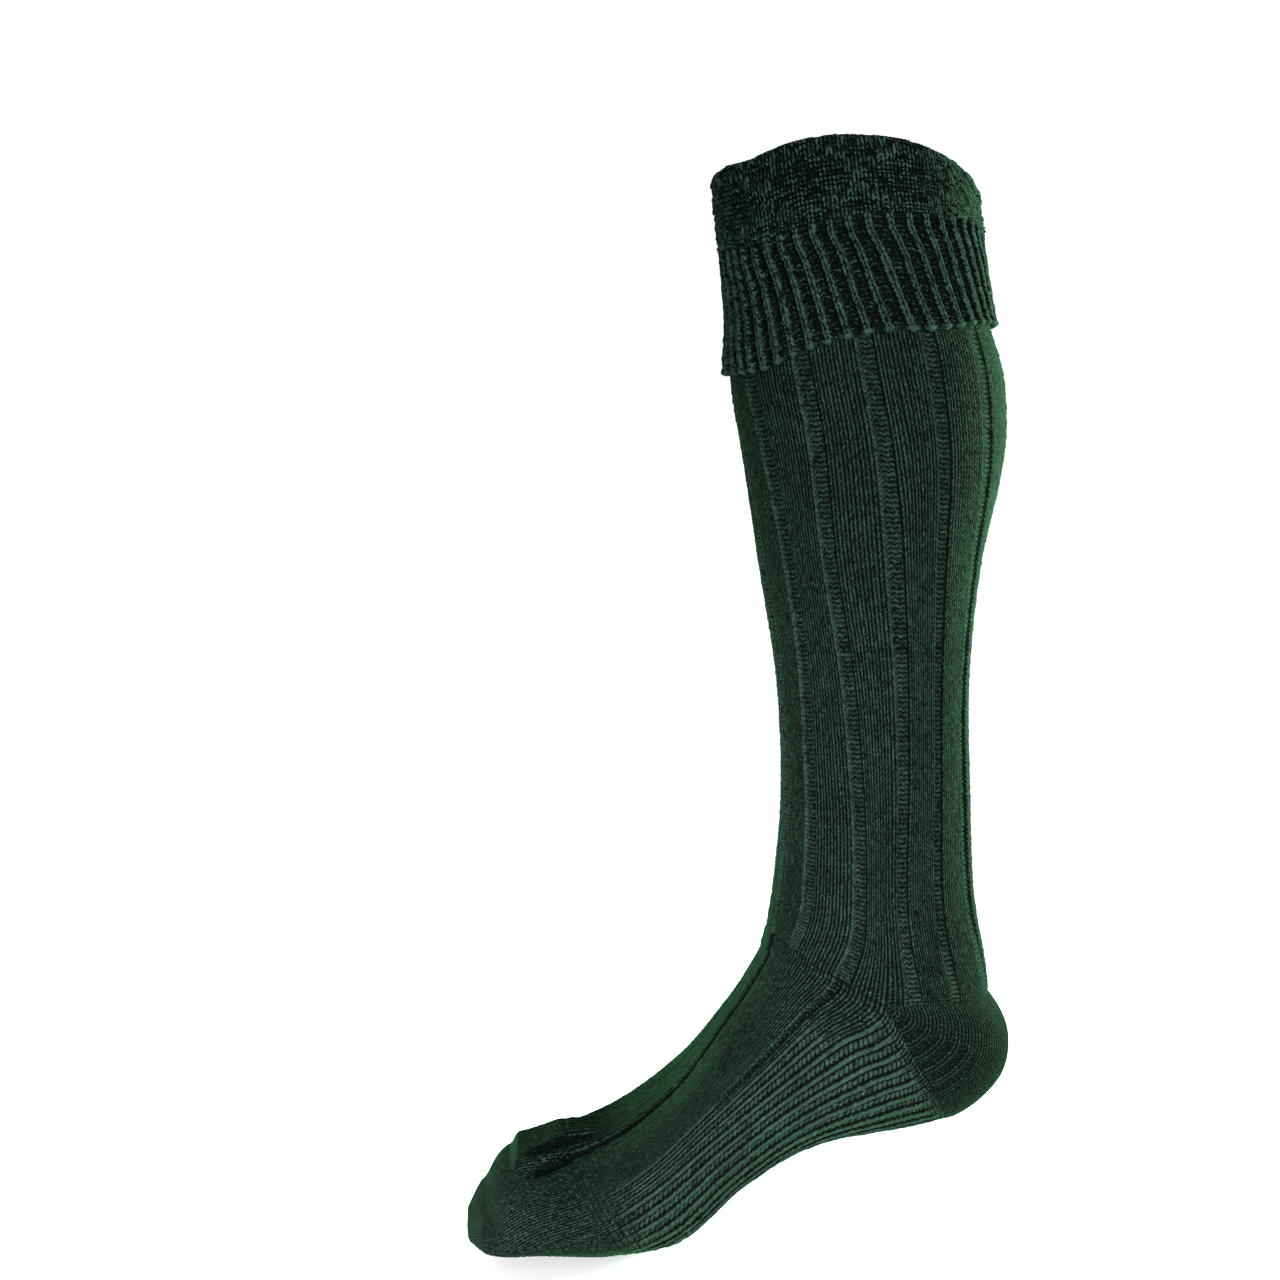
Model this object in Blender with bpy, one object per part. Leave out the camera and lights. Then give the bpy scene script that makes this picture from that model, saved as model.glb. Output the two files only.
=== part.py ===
"""Kilt hose sock, a right one, in the form it has on a leg with the foot stretched down.

Metres, +Z up the leg, toes towards -Y, the inner side of the leg towards +X.
The origin is the centre of the top opening.
"""
import math

import bmesh
import bpy
import numpy as np

# Leg
LEG_LENGTH = 0.385
CALF_DEPTH = 0.121
CALF_WIDTH = 0.112
RIM_LIFT = 0.004
RIM_SHARE = 0.25

# Ankle ring, whose two side points lie behind the rim's centre: reach and heading of its three arms,
# where heading 180 is the front, 0 the back and -90 straight down
ANKLE_SHIFT = 0.0105
ANKLE_WIDTH = 0.072
INSTEP_REACH = 0.0555
INSTEP_HEADING = 148.0
TENDON_REACH = 0.059
TENDON_HEADING = -4.0
ARCH_REACH = 0.075
ARCH_HEADING = -60.0

# Heel and foot
HEEL_REACH = 0.082
FOOT_LENGTH = 0.204
FOOT_HEIGHT = 0.060
FOOT_WIDTH = 0.092
FOOT_DROP = 28.0
TOE_SHARE = 0.74
TOE_BULGE = 0.002

# Knitted wall
WALL = 0.0022
GAP = 0.0003
PANELS = 12
PANEL_RISE = 0.0010
SOLE_RIBS = 24
RIB_RISE = 0.0009
SQUARENESS = 2.2

# Turned-down cuff, with its drops measured down from the rim
FOLD = 0.006
CUFF_CLEARANCE = 0.0009
CUFF_WALL = 0.0022
CUFF_RIBS = 48
CUFF_RIB_RISE = 0.0013
CUFF_SLANT = 10.0
CUFF_DROP = 0.098
CUFF_FLARE = 0.0003
CUFF_STEP = 0.0008

# Columns and rows of the faces, and the step over which slopes of the surface are read
LEG_ROWS = (0.08, 0.16, 0.24, 0.32, 0.42, 0.52, 0.62, 0.72, 0.82, 0.90, 0.95, 1.0)
HEEL_COLUMNS = 24
HEEL_ROWS = 9
FOOT_ROWS = 8
TOE_COLUMNS = 40
TOE_ROWS = 7
BAND_COLUMNS = 60
CUFF_ROWS = 4
TIP_ANGLE = 1.2
SLOPE_STEP = 0.01

# Rings of the leg. Share of its length; then the centre, the front reach and the back reach as shares
# of CALF_DEPTH; the inner and outer reach as shares of half CALF_WIDTH; how far the front half and
# the back half tilt, in degrees
LEG_RINGS = (
    (0.00, 0.000, 0.495, 0.495, 0.90, 0.90, 0, 0),
    (0.10, 0.034, 0.490, 0.490, 0.95, 0.95, 0, 0),
    (0.18, 0.064, 0.500, 0.500, 0.98, 0.98, 0, 0),
    (0.25, 0.092, 0.533, 0.533, 1.02, 1.02, 0, 0),
    (0.34, 0.116, 0.509, 0.509, 1.00, 1.00, 0, 0),
    (0.48, 0.101, 0.427, 0.427, 0.90, 0.90, 0, 0),
    (0.62, 0.113, 0.373, 0.373, 0.76, 0.76, 2, 0),
    (0.76, 0.110, 0.354, 0.385, 0.67, 0.67, 6, 0),
    (0.88, 0.095, 0.373, 0.418, 0.64, 0.64, 15, 2),
)

# Where the knitting's lines lie round the leg, in degrees from the front to the inner side and the back:
# share of the leg's length; then the middle of the front panel, the six purl lines of the inner side and
# the middle of the back panel. The outer side mirrors them, turned to meet them front and back
KNIT_LINES = (
    (0.00, -32, -15, 17, 47, 75, 99, 125, 140),
    (0.29, -24, -8, 23.5, 54, 81, 103.5, 129, 145),
    (0.48, -12, 4, 33, 58, 90, 112, 141, 157),
    (0.69, -8, 7, 35, 68.5, 95, 116.5, 142, 160),
    (0.91, -2, 13, 41, 77, 97.5, 118.5, 147, 170),
    (1.00, 0, 13, 34, 68, 103.2, 124, 154, 180),
)
LINE_PLACES = (0, 15, 45, 75, 105, 135, 165, 180)

# Rays of the heel, fanned about the ankle's side points. Share of the turn from the tendon to the
# arch, and the reach as a share of HEEL_REACH
HEEL_RAYS = (
    (0.25, 0.89),
    (0.50, 0.98),
    (0.75, 0.97),
)

# Rings of the foot. Share of FOOT_LENGTH; how far the centre sinks, the reach to the top and the reach
# to the sole as shares of FOOT_HEIGHT; the inner and outer reach as shares of half FOOT_WIDTH; how
# far the top half and the sole half lean from upright on the foot, in degrees
FOOT_RINGS = (
    (0.05, 0.06, 0.87, 1.14, 0.79, 0.79, 24, -5),
    (0.12, 0.03, 0.71, 1.10, 0.80, 0.80, 16, -8),
    (0.28, 0.08, 0.51, 0.74, 0.82, 0.84, 8, 0),
    (0.45, 0.13, 0.37, 0.64, 0.90, 0.92, 2, 2),
    (0.62, 0.18, 0.32, 0.66, 1.02, 1.00, 0, 2),
    (0.76, 0.16, 0.39, 0.46, 1.05, 0.97, 0, 0),
    (0.88, 0.06, 0.42, 0.21, 0.98, 0.74, -3, 0),
    (0.96, -0.02, 0.31, 0.13, 0.80, 0.42, -5, 0),
    (1.00, -0.04, 0.14, 0.04, 0.40, 0.04, -6, 0),
)

# The uneven rim and cuff. Degrees round the sock; the rim's lift as a share of RIM_LIFT; the lower ends
# of the band and of the cuff as shares of CUFF_DROP
CUFF_TURNS = (
    (-180, -0.9, 0.245, 0.690),
    (-145, -0.1, 0.260, 0.730),
    (-100, 1.0, 0.285, 0.790),
    (-60, 0.6, 0.316, 0.857),
    (-12, 0.0, 0.357, 0.940),
    (12, -0.6, 0.400, 0.990),
    (35, -1.0, 0.430, 1.000),
    (55, 0.0, 0.393, 0.940),
    (69, 0.6, 0.372, 0.900),
    (86, 1.0, 0.347, 0.857),
    (108, 0.8, 0.321, 0.827),
    (150, -0.9, 0.255, 0.735),
    (180, -0.9, 0.245, 0.690),
)

# One panel of the leg from the middle of a purl line to the next: share of its width, share of its rise
PANEL_PROFILE = (
    (0.00, 0.00),
    (0.11, 0.75),
    (0.24, 0.95),
    (0.50, 1.00),
    (0.76, 0.95),
    (0.89, 0.75),
)

# Section of the folded top: share of FOLD below the rim, share of the way from the leg's inside
# to the cuff's outside
FOLD_PROFILE = (
    (1.00, 0.00),
    (0.40, 0.04),
    (0.10, 0.22),
    (0.00, 0.50),
    (0.10, 0.78),
    (0.40, 0.96),
)


def arm(heading, reach):
    """Y and Z of an arm of the given reach."""
    angle = math.radians(heading)
    return math.cos(angle) * reach, math.sin(angle) * reach


def ring_tables():
    """Centre line with front arms and side reaches, and the back arms, as rows to be read smoothly."""
    spine = []
    back = []
    half = CALF_WIDTH / 2
    for share, centre, front, rear, inner, outer, front_tilt, rear_tilt in LEG_RINGS:
        middle = (centre * CALF_DEPTH, -share * LEG_LENGTH)
        sides = (inner * half, outer * half)
        spine.append((share, *middle, *arm(180 - front_tilt, front * CALF_DEPTH), *sides))
        back.append((share, *arm(-rear_tilt, rear * CALF_DEPTH)))
    ankle = (ANKLE_SHIFT, -LEG_LENGTH)
    half = ANKLE_WIDTH / 2
    spine.append((1.0, *ankle, *arm(INSTEP_HEADING, INSTEP_REACH), half, half))
    back.append((1.0, *arm(TENDON_HEADING, TENDON_REACH)))
    sweep = ARCH_HEADING - TENDON_HEADING
    for share, reach in HEEL_RAYS:
        back.append((1 + share, *arm(TENDON_HEADING + sweep * share, reach * HEEL_REACH)))
    back.append((2.0, *arm(ARCH_HEADING, ARCH_REACH)))
    along = arm(180 + FOOT_DROP, FOOT_LENGTH)
    down = arm(FOOT_DROP - 90, FOOT_HEIGHT)
    half = FOOT_WIDTH / 2
    for share, sink, top, sole, inner, outer, top_lean, sole_lean in FOOT_RINGS:
        middle = [ankle[i] + share * along[i] + sink * down[i] for i in (0, 1)]
        sides = (inner * half, outer * half)
        spine.append((1 + share, *middle, *arm(90 + FOOT_DROP + top_lean, top * FOOT_HEIGHT), *sides))
        back.append((2 + share, *arm(FOOT_DROP - 90 - sole_lean, sole * FOOT_HEIGHT)))
    return np.array(spine), np.array(back)


SPINE, BACK = ring_tables()


def read(table, at):
    """Smooth curve through a table's rows, read where its first column has the values `at`."""
    mark = table[:, 0]
    last = len(mark) - 1
    low = np.maximum(np.arange(last + 1) - 1, 0)
    high = np.minimum(np.arange(last + 1) + 1, last)
    slope = (table[high] - table[low]) / (mark[high] - mark[low])[:, None]
    row = np.clip(np.searchsorted(mark, at, side="right") - 1, 0, last - 1)
    span = (mark[row + 1] - mark[row])[..., None]
    s = (at - mark[row])[..., None] / span
    start = (2 * s**3 - 3 * s**2 + 1) * table[row] + (s**3 - 2 * s**2 + s) * span * slope[row]
    end = (3 * s**2 - 2 * s**3) * table[row + 1] + (s**3 - s**2) * span * slope[row + 1]
    return start + end


def turned(angle):
    """Rim lift and lower ends of band and cuff, as shares, at the given angles."""
    return read(np.array(CUFF_TURNS), np.degrees(angle + math.pi) % 360 - 180)


def skin(front_at, back_at, angle):
    """Points of the sock's surface. The front half runs 0..1 down the leg and 1..2 along the foot, the
    back half 0..1 down the leg, 1..2 round the heel and 2..3 along the sole. Angle 0 is the front."""
    front_at, back_at, angle = np.broadcast_arrays(front_at, back_at, angle)
    is_front = np.cos(angle) >= 0
    back_spine = np.where(back_at < 1, back_at, np.maximum(back_at - 1, 1))
    ring = read(SPINE, np.where(is_front, front_at, back_spine))
    rear = read(BACK, back_at)
    power = 2 / SQUARENESS
    reach = np.where(is_front[..., None], ring[..., 3:5], rear[..., 1:3])
    out = reach * (np.abs(np.cos(angle)) ** power)[..., None]
    sine = np.sin(angle)
    side = np.where(sine > 0, ring[..., 5], ring[..., 6]) * np.sign(sine) * np.abs(sine) ** power
    fade = np.clip(1 - np.where(is_front, front_at, back_at) / RIM_SHARE, 0, 1) ** 2
    lift = RIM_LIFT * turned(angle)[..., 1] * fade
    return np.stack((side, ring[..., 1] + out[..., 0], ring[..., 2] + out[..., 1] + lift), -1)


def knitted(place, at):
    """Angle at which a place round the knitting, an angle too, lies at a share of the leg's length."""
    place, at = np.broadcast_arrays(np.degrees(place), at)
    lines = read(np.array(KNIT_LINES), at)[..., 1:]
    turns = np.floor(place / 360) * 360
    side = np.minimum(place - turns, 360 - (place - turns))
    marks = np.array(LINE_PLACES)
    low = np.clip(np.searchsorted(marks, side, side="right") - 1, 0, len(marks) - 2)
    near, far = (np.take_along_axis(lines, (low + i)[..., None], -1)[..., 0] for i in (0, 1))
    inner = near + (far - near) * (side - marks[low]) / (marks[low + 1] - marks[low])
    front, back = 2 * lines[..., 0], 2 * lines[..., -1] - 360
    outer = 360 - inner + front + (back - front) * side / 180
    return np.radians(np.where(place - turns > 180, outer, inner) + turns)


def unit(vectors):
    return vectors / np.maximum(np.linalg.norm(vectors, axis=-1, keepdims=True), 1e-9)


def normals(front_at, back_at, angle):
    """Outward normals of the surface."""
    ahead = skin(np.minimum(front_at + SLOPE_STEP, 2), np.minimum(back_at + SLOPE_STEP, 3), angle)
    behind = skin(np.maximum(front_at - SLOPE_STEP, 0), np.maximum(back_at - SLOPE_STEP, 0), angle)
    left = skin(front_at, back_at, angle + SLOPE_STEP)
    right = skin(front_at, back_at, angle - SLOPE_STEP)
    return unit(np.cross(left - right, behind - ahead))


def walls(front_at, back_at, angle, rise, trim_first=0, trim_last=0):
    """Outer and inner face of a knitted wall. A trimmed end is drawn back along the wall by half a gap."""
    points = skin(front_at, back_at, angle)
    out = normals(front_at, back_at, angle)
    if trim_first:
        points[0] += unit(points[1] - points[0]) * GAP / 2
    if trim_last:
        points[-1] += unit(points[-2] - points[-1]) * GAP / 2
    return points + out * rise[..., None], points - out * WALL


def material(name, colour):
    """Wool in one colour."""
    wool = bpy.data.materials.new(name)
    wool.use_nodes = True
    shader = wool.node_tree.nodes["Principled BSDF"]
    shader.inputs["Base Color"].default_value = (*colour, 1)
    shader.inputs["Roughness"].default_value = 0.9
    shader.inputs["Metallic"].default_value = 0
    return wool


def solid(name, points, faces, colour):
    """Closed object with its faces turned outwards."""
    mesh = bpy.data.meshes.new(name)
    mesh.from_pydata([tuple(p) for p in points], [], faces)
    shape = bmesh.new()
    shape.from_mesh(mesh)
    bmesh.ops.recalc_face_normals(shape, faces=shape.faces)
    shape.to_mesh(mesh)
    shape.free()
    mesh.materials.append(material(name + "_wool", colour))
    mesh.shade_smooth()
    mesh.set_sharp_from_angle(angle=math.radians(50))
    made = bpy.data.objects.new(name, mesh)
    bpy.context.collection.objects.link(made)
    return made


def strip(first, second, wrap):
    """Quads between two equal rows of point numbers."""
    count = len(first)
    pairs = range(count if wrap else count - 1)
    return [(first[i], first[(i + 1) % count], second[(i + 1) % count], second[i]) for i in pairs]


def tube(name, outer, inner, colour):
    """Hollow tube, open at both ends, from rings of outer and inner points."""
    rows, columns = outer.shape[:2]
    numbers = np.arange(2 * rows * columns).reshape(2, rows, columns).tolist()
    faces = strip(numbers[0][0], numbers[1][0], True) + strip(numbers[0][-1], numbers[1][-1], True)
    for side in numbers:
        for row in range(rows - 1):
            faces += strip(side[row], side[row + 1], True)
    return solid(name, np.concatenate((outer.reshape(-1, 3), inner.reshape(-1, 3))), faces, colour)


def patch(name, outer, inner, colour):
    """Curved sheet with an edge all round."""
    rows, columns = outer.shape[:2]
    numbers = np.arange(2 * rows * columns).reshape(2, rows, columns)
    faces = []
    for side in numbers.tolist():
        for row in range(rows - 1):
            faces += strip(side[row], side[row + 1], False)
    for edge in ((0, slice(None)), (-1, slice(None)), (slice(None), 0), (slice(None), -1)):
        faces += strip(numbers[0][edge].tolist(), numbers[1][edge].tolist(), False)
    return solid(name, np.concatenate((outer.reshape(-1, 3), inner.reshape(-1, 3))), faces, colour)


def cap(name, outer, inner, tips, colour):
    """Hollow tube closed at its last ring by an outer and an inner tip."""
    rows, columns = outer.shape[:2]
    numbers = np.arange(2 * rows * columns).reshape(2, rows, columns).tolist()
    faces = strip(numbers[0][0], numbers[1][0], True)
    for side, tip in zip(numbers, (2 * rows * columns, 2 * rows * columns + 1)):
        for row in range(rows - 1):
            faces += strip(side[row], side[row + 1], True)
        faces += [(side[-1][i], side[-1][(i + 1) % columns], tip) for i in range(columns)]
    points = np.concatenate((outer.reshape(-1, 3), inner.reshape(-1, 3), tips))
    return solid(name, points, faces, colour)


def ring_of(profile, count):
    """Angles and shares of rise round the sock, for a profile repeated `count` times."""
    place = [(k + share - 0.5) / count for k in range(count) for share, _ in profile]
    rise = [share for _ in range(count) for _, share in profile]
    return np.array(place) * 2 * math.pi, np.array(rise)


def leg_tube(colour):
    angle, rise = ring_of(PANEL_PROFILE, PANELS)
    top = (FOLD + GAP) / LEG_LENGTH
    at = np.array((top, *LEG_ROWS))[:, None]
    around = knitted(angle[None], at)
    outer, inner = walls(at, at, around, np.broadcast_to(rise * PANEL_RISE, around.shape), trim_last=1)
    return tube("leg_tube", outer, inner, colour)


def heel_pocket(colour):
    tip = math.radians(TIP_ANGLE)
    angle = np.linspace(math.pi / 2 + tip, 3 * math.pi / 2 - tip, HEEL_COLUMNS + 1)[None]
    back_at = np.linspace(1, 2, HEEL_ROWS)[:, None]
    rise = np.full((HEEL_ROWS, HEEL_COLUMNS + 1), PANEL_RISE / 2)
    outer, inner = walls(np.ones_like(back_at), back_at, angle, rise, trim_first=1, trim_last=1)
    return patch("heel_pocket", outer, inner, colour)


def foot_ring():
    """Angles and rises of a foot ring: the panels over the instep, then ribs round the sole."""
    place, rise = ring_of(PANEL_PROFILE, PANELS)
    angle = knitted(place, 1.0)
    over = np.cos(angle) > 0
    ribs = np.arange(1, 2 * SOLE_RIBS)
    sole = math.pi / 2 + math.pi * ribs / (2 * SOLE_RIBS)
    angles = np.concatenate((angle[over], sole))
    rises = np.concatenate((rise[over] * PANEL_RISE, (ribs % 2) * RIB_RISE))
    order = np.argsort(angles % (2 * math.pi))
    return angles[order], rises[order]


def foot_tube(colour):
    angle, rise = foot_ring()
    along = np.linspace(0, TOE_SHARE, FOOT_ROWS + 1)[:, None]
    shape = (len(along), len(angle))
    rises = np.broadcast_to(rise, shape)
    outer, inner = walls(1 + along, 2 + along, angle[None], rises, trim_first=1, trim_last=1)
    return tube("foot_tube", outer, inner, colour)


def toe_cap(colour):
    angle = np.linspace(0, 2 * math.pi, TOE_COLUMNS, endpoint=False)[None]
    along = np.linspace(TOE_SHARE, 1, TOE_ROWS + 1)[:, None]
    rise = np.full((TOE_ROWS + 1, TOE_COLUMNS), PANEL_RISE / 2)
    outer, inner = walls(1 + along, 2 + along, angle, rise, trim_first=1)
    forward = np.array((0, *arm(180 + FOOT_DROP, 1)))
    inner[-1] -= forward * WALL
    tips = np.array((outer[-1].mean(0) + forward * TOE_BULGE, outer[-1].mean(0) - forward * WALL))
    return cap("toe_cap", outer, inner, tips, colour)


def cuff_point(drop, height, angle):
    """Points a drop below the rim and a height above the leg's surface."""
    at = drop / LEG_LENGTH
    return skin(at, at, angle) + normals(at, at, angle) * height[..., None]


def cuff_band(colour):
    angle = np.linspace(0, 2 * math.pi, BAND_COLUMNS, endpoint=False)
    under = PANEL_RISE + CUFF_CLEARANCE
    over = under + CUFF_WALL
    end = CUFF_DROP * turned(angle)[:, 2] - GAP / 2
    ones = np.ones(BAND_COLUMNS)
    rings = [(share * FOLD * ones, -WALL + across * (over + WALL)) for share, across in FOLD_PROFILE]
    rings += [((FOLD + end) / 2, over), (end, over), (end, under), ((FOLD + end) / 2, under)]
    rings.append((FOLD * ones, under))
    points = np.array([cuff_point(drop, height * ones, angle) for drop, height in rings])
    numbers = np.arange(points.shape[0] * BAND_COLUMNS).reshape(-1, BAND_COLUMNS).tolist()
    faces = []
    for row in range(len(numbers)):
        faces += strip(numbers[row], numbers[(row + 1) % len(numbers)], True)
    return solid("cuff_band", points.reshape(-1, 3), faces, colour)


def cuff_rib(colour):
    columns = 2 * CUFF_RIBS
    place = np.arange(columns) * 2 * math.pi / columns
    ridge = (np.arange(columns) % 2) * CUFF_RIB_RISE
    under = PANEL_RISE + CUFF_CLEARANCE
    outer = []
    inner = []
    for share in np.linspace(0, 1, CUFF_ROWS):
        angle = place + math.radians(CUFF_SLANT) * (share - 1)
        shares = turned(angle)
        start = CUFF_DROP * shares[:, 2] + GAP / 2
        drop = start + (CUFF_DROP * shares[:, 3] - start) * share
        below = np.full(columns, under + CUFF_FLARE * share**2)
        outer.append(cuff_point(drop, below + CUFF_WALL - CUFF_STEP + ridge, angle))
        inner.append(cuff_point(drop, below, angle))
    return tube("cuff_rib", np.array(outer), np.array(inner), colour)


def main():
    for old in list(bpy.data.objects):
        bpy.data.objects.remove(old)
    green = (0.020, 0.070, 0.045)
    dark_green = (0.014, 0.050, 0.034)
    leg_tube(green)
    heel_pocket(green)
    foot_tube(green)
    toe_cap(green)
    cuff_band(dark_green)
    cuff_rib(dark_green)


main()
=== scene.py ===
"""Looks of the kilt hose sock: closed knitted shells with every stitch in relief, in dark green wool.

Metres, +Z up the leg, toes towards -Y, the inner side of the leg towards +X.
"""
import math

import bpy
import numpy as np
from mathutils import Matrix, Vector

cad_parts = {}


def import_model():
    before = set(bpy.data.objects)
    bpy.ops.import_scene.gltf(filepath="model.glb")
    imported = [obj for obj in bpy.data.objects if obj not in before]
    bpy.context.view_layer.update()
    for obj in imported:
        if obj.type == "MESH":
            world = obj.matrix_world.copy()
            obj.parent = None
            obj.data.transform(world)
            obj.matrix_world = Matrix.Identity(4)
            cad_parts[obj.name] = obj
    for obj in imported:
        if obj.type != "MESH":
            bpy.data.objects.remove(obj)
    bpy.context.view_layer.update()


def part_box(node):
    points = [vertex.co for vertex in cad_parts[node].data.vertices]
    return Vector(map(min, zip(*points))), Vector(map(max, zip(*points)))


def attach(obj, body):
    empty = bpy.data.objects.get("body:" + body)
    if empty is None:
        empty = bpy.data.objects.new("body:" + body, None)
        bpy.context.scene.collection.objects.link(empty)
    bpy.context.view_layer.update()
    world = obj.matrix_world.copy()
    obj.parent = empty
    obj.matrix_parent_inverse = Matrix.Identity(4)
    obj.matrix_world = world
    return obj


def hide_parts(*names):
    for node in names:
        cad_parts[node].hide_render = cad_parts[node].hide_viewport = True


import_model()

RANDOM = np.random.default_rng(11)

# Sizes of the solids, repeated here so that each piece lies on its node
LEG_LENGTH = 0.385
CALF_DEPTH = 0.121
CALF_WIDTH = 0.112
RIM_LIFT = 0.004
RIM_SHARE = 0.25
ANKLE_SHIFT = 0.0105
ANKLE_WIDTH = 0.072
INSTEP_REACH = 0.0555
INSTEP_HEADING = 148.0
TENDON_REACH = 0.059
TENDON_HEADING = -4.0
ARCH_REACH = 0.075
ARCH_HEADING = -60.0
HEEL_REACH = 0.082
FOOT_LENGTH = 0.204
FOOT_HEIGHT = 0.060
FOOT_WIDTH = 0.092
FOOT_DROP = 28.0
TOE_SHARE = 0.74
TOE_BULGE = 0.002
WALL = 0.0022
PANEL_RISE = 0.0010
SQUARENESS = 2.2
FOLD = 0.006
CUFF_CLEARANCE = 0.0009
CUFF_WALL = 0.0022
CUFF_RIB_RISE = 0.0013
CUFF_SLANT = 10.0
CUFF_DROP = 0.098
CUFF_FLARE = 0.0003
CUFF_STEP = 0.0008
SLOPE_STEP = 0.01
FINE_STEPS = 181
ARCH_EASE = 0.6

# Rings of the leg. Share of its length; then the centre, the front reach and the back reach as shares
# of CALF_DEPTH; the inner and outer reach as shares of half CALF_WIDTH; how far the front half and
# the back half tilt, in degrees
LEG_RINGS = (
    (0.00, 0.000, 0.495, 0.495, 0.90, 0.90, 0, 0),
    (0.10, 0.034, 0.490, 0.490, 0.95, 0.95, 0, 0),
    (0.18, 0.064, 0.500, 0.500, 0.98, 0.98, 0, 0),
    (0.25, 0.092, 0.533, 0.533, 1.02, 1.02, 0, 0),
    (0.34, 0.116, 0.509, 0.509, 1.00, 1.00, 0, 0),
    (0.48, 0.101, 0.427, 0.427, 0.90, 0.90, 0, 0),
    (0.62, 0.113, 0.373, 0.373, 0.76, 0.76, 2, 0),
    (0.76, 0.110, 0.354, 0.385, 0.67, 0.67, 6, 0),
    (0.88, 0.095, 0.373, 0.418, 0.64, 0.64, 15, 2),
)

# Where the knitting's lines lie round the leg, in degrees from the front to the inner side and the back:
# share of the leg's length; then the middle of the front panel, the six purl lines of the inner side and
# the middle of the back panel. The outer side mirrors them, turned to meet them front and back
KNIT_LINES = np.array((
    (0.00, -32, -15, 17, 47, 75, 99, 125, 140),
    (0.29, -24, -8, 23.5, 54, 81, 103.5, 129, 145),
    (0.48, -12, 4, 33, 58, 90, 112, 141, 157),
    (0.69, -8, 7, 35, 68.5, 95, 116.5, 142, 160),
    (0.91, -2, 13, 41, 77, 97.5, 118.5, 147, 170),
    (1.00, 0, 13, 34, 68, 103.2, 124, 154, 180),
))
LINE_PLACES = np.array((0, 15, 45, 75, 105, 135, 165, 180))

# Rays of the heel. Share of the turn from the tendon to the arch, reach as a share of HEEL_REACH
HEEL_RAYS = ((0.25, 0.89), (0.50, 0.98), (0.75, 0.97))

# Rings of the foot. Share of FOOT_LENGTH; how far the centre sinks, the reach to the top and the reach
# to the sole as shares of FOOT_HEIGHT; the inner and outer reach as shares of half FOOT_WIDTH; how
# far the top half and the sole half lean, in degrees
FOOT_RINGS = (
    (0.05, 0.06, 0.87, 1.14, 0.79, 0.79, 24, -5),
    (0.12, 0.03, 0.71, 1.10, 0.80, 0.80, 16, -8),
    (0.28, 0.08, 0.51, 0.74, 0.82, 0.84, 8, 0),
    (0.45, 0.13, 0.37, 0.64, 0.90, 0.92, 2, 2),
    (0.62, 0.18, 0.32, 0.66, 1.02, 1.00, 0, 2),
    (0.76, 0.16, 0.39, 0.46, 1.05, 0.97, 0, 0),
    (0.88, 0.06, 0.42, 0.21, 0.98, 0.74, -3, 0),
    (0.96, -0.02, 0.31, 0.13, 0.80, 0.42, -5, 0),
    (1.00, -0.04, 0.14, 0.04, 0.40, 0.04, -6, 0),
)

# The uneven rim and cuff. Degrees round the sock; the rim's lift as a share of RIM_LIFT; the lower ends
# of the band and of the cuff as shares of CUFF_DROP
CUFF_TURNS = np.array((
    (-180, -0.9, 0.245, 0.690),
    (-145, -0.1, 0.260, 0.730),
    (-100, 1.0, 0.285, 0.790),
    (-60, 0.6, 0.316, 0.857),
    (-12, 0.0, 0.357, 0.940),
    (12, -0.6, 0.400, 0.990),
    (35, -1.0, 0.430, 1.000),
    (55, 0.0, 0.393, 0.940),
    (69, 0.6, 0.372, 0.900),
    (86, 1.0, 0.347, 0.857),
    (108, 0.8, 0.321, 0.827),
    (150, -0.9, 0.255, 0.735),
    (180, -0.9, 0.245, 0.690),
))

# Knitting: stitches round, the wales of a panel, of its purl line and beside that line, the front lines
# that end at the ankle, and the first wale of the sole
WALES = 96
PANEL_WALES = 8
LINE_WALES = (3, 4)
LINE_EDGES = (2, 5)
ENDING_WALES = (11, 12)
SIDE_WALE = 25

# Number of each wale, counted from the front to the back on both sides
SIDES = np.minimum(np.arange(WALES), np.arange(WALES)[::-1])

# The columns and rows of points in one stitch, its relief, painted shade in grooves and purl lines, on the
# inside and over the heel, chance tone and chance shifts in stitches
COLUMN_X = np.array((-0.5, -0.26, 0.0, 0.26))
STITCH_ROWS = 3
LEG_COURSES = 146
HIDDEN_DROP = 0.060
FOLD_GAP = 0.0002
HIDDEN_ROWS = 6
INNER_ROWS = 14
LEG_GROOVE = 0.00050
MIDDLE_GROOVE = 0.7
SHADE_DEPTH = 0.00055
COURSE_GROOVE = 0.00018
FREE_COURSE_GROOVE = 0.000252
EDGE_RISE = 0.0001
BEAD_POWER = 2.5
EDGE_SHARE = 0.3
PURL_GROOVE = 0.00055
LEAN = 1.6
PURL_WAVE = 0.15
UNEVEN = 0.0001
STITCH_TONE = 0.06
PURL_SHADE = 0.7
INNER_SHADE = 0.35
WALE_JITTER = 0.015
COURSE_JITTER = 0.02
END_FADE = 5
END_GAP = 0.05
SPECKLE = 0.17
LINE_SHADE = 0.22
LINE_SHADE_FLOOR = 0.42
HEEL_FADE = 0.88
# Painted shade on the back of the lower leg and the heel: how much darker, and from where along the leg
HEEL_SHADE = 0.12
HEEL_SHADE_START = 0.84

# How far the purl lines sink below the panels: share of the leg, depth in metres
PURL_SINK = np.array(((0, 0.0007), (0.25, 0.0007), (0.45, 0.0012), (0.70, 0.0015), (1, 0.0015)))

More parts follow.
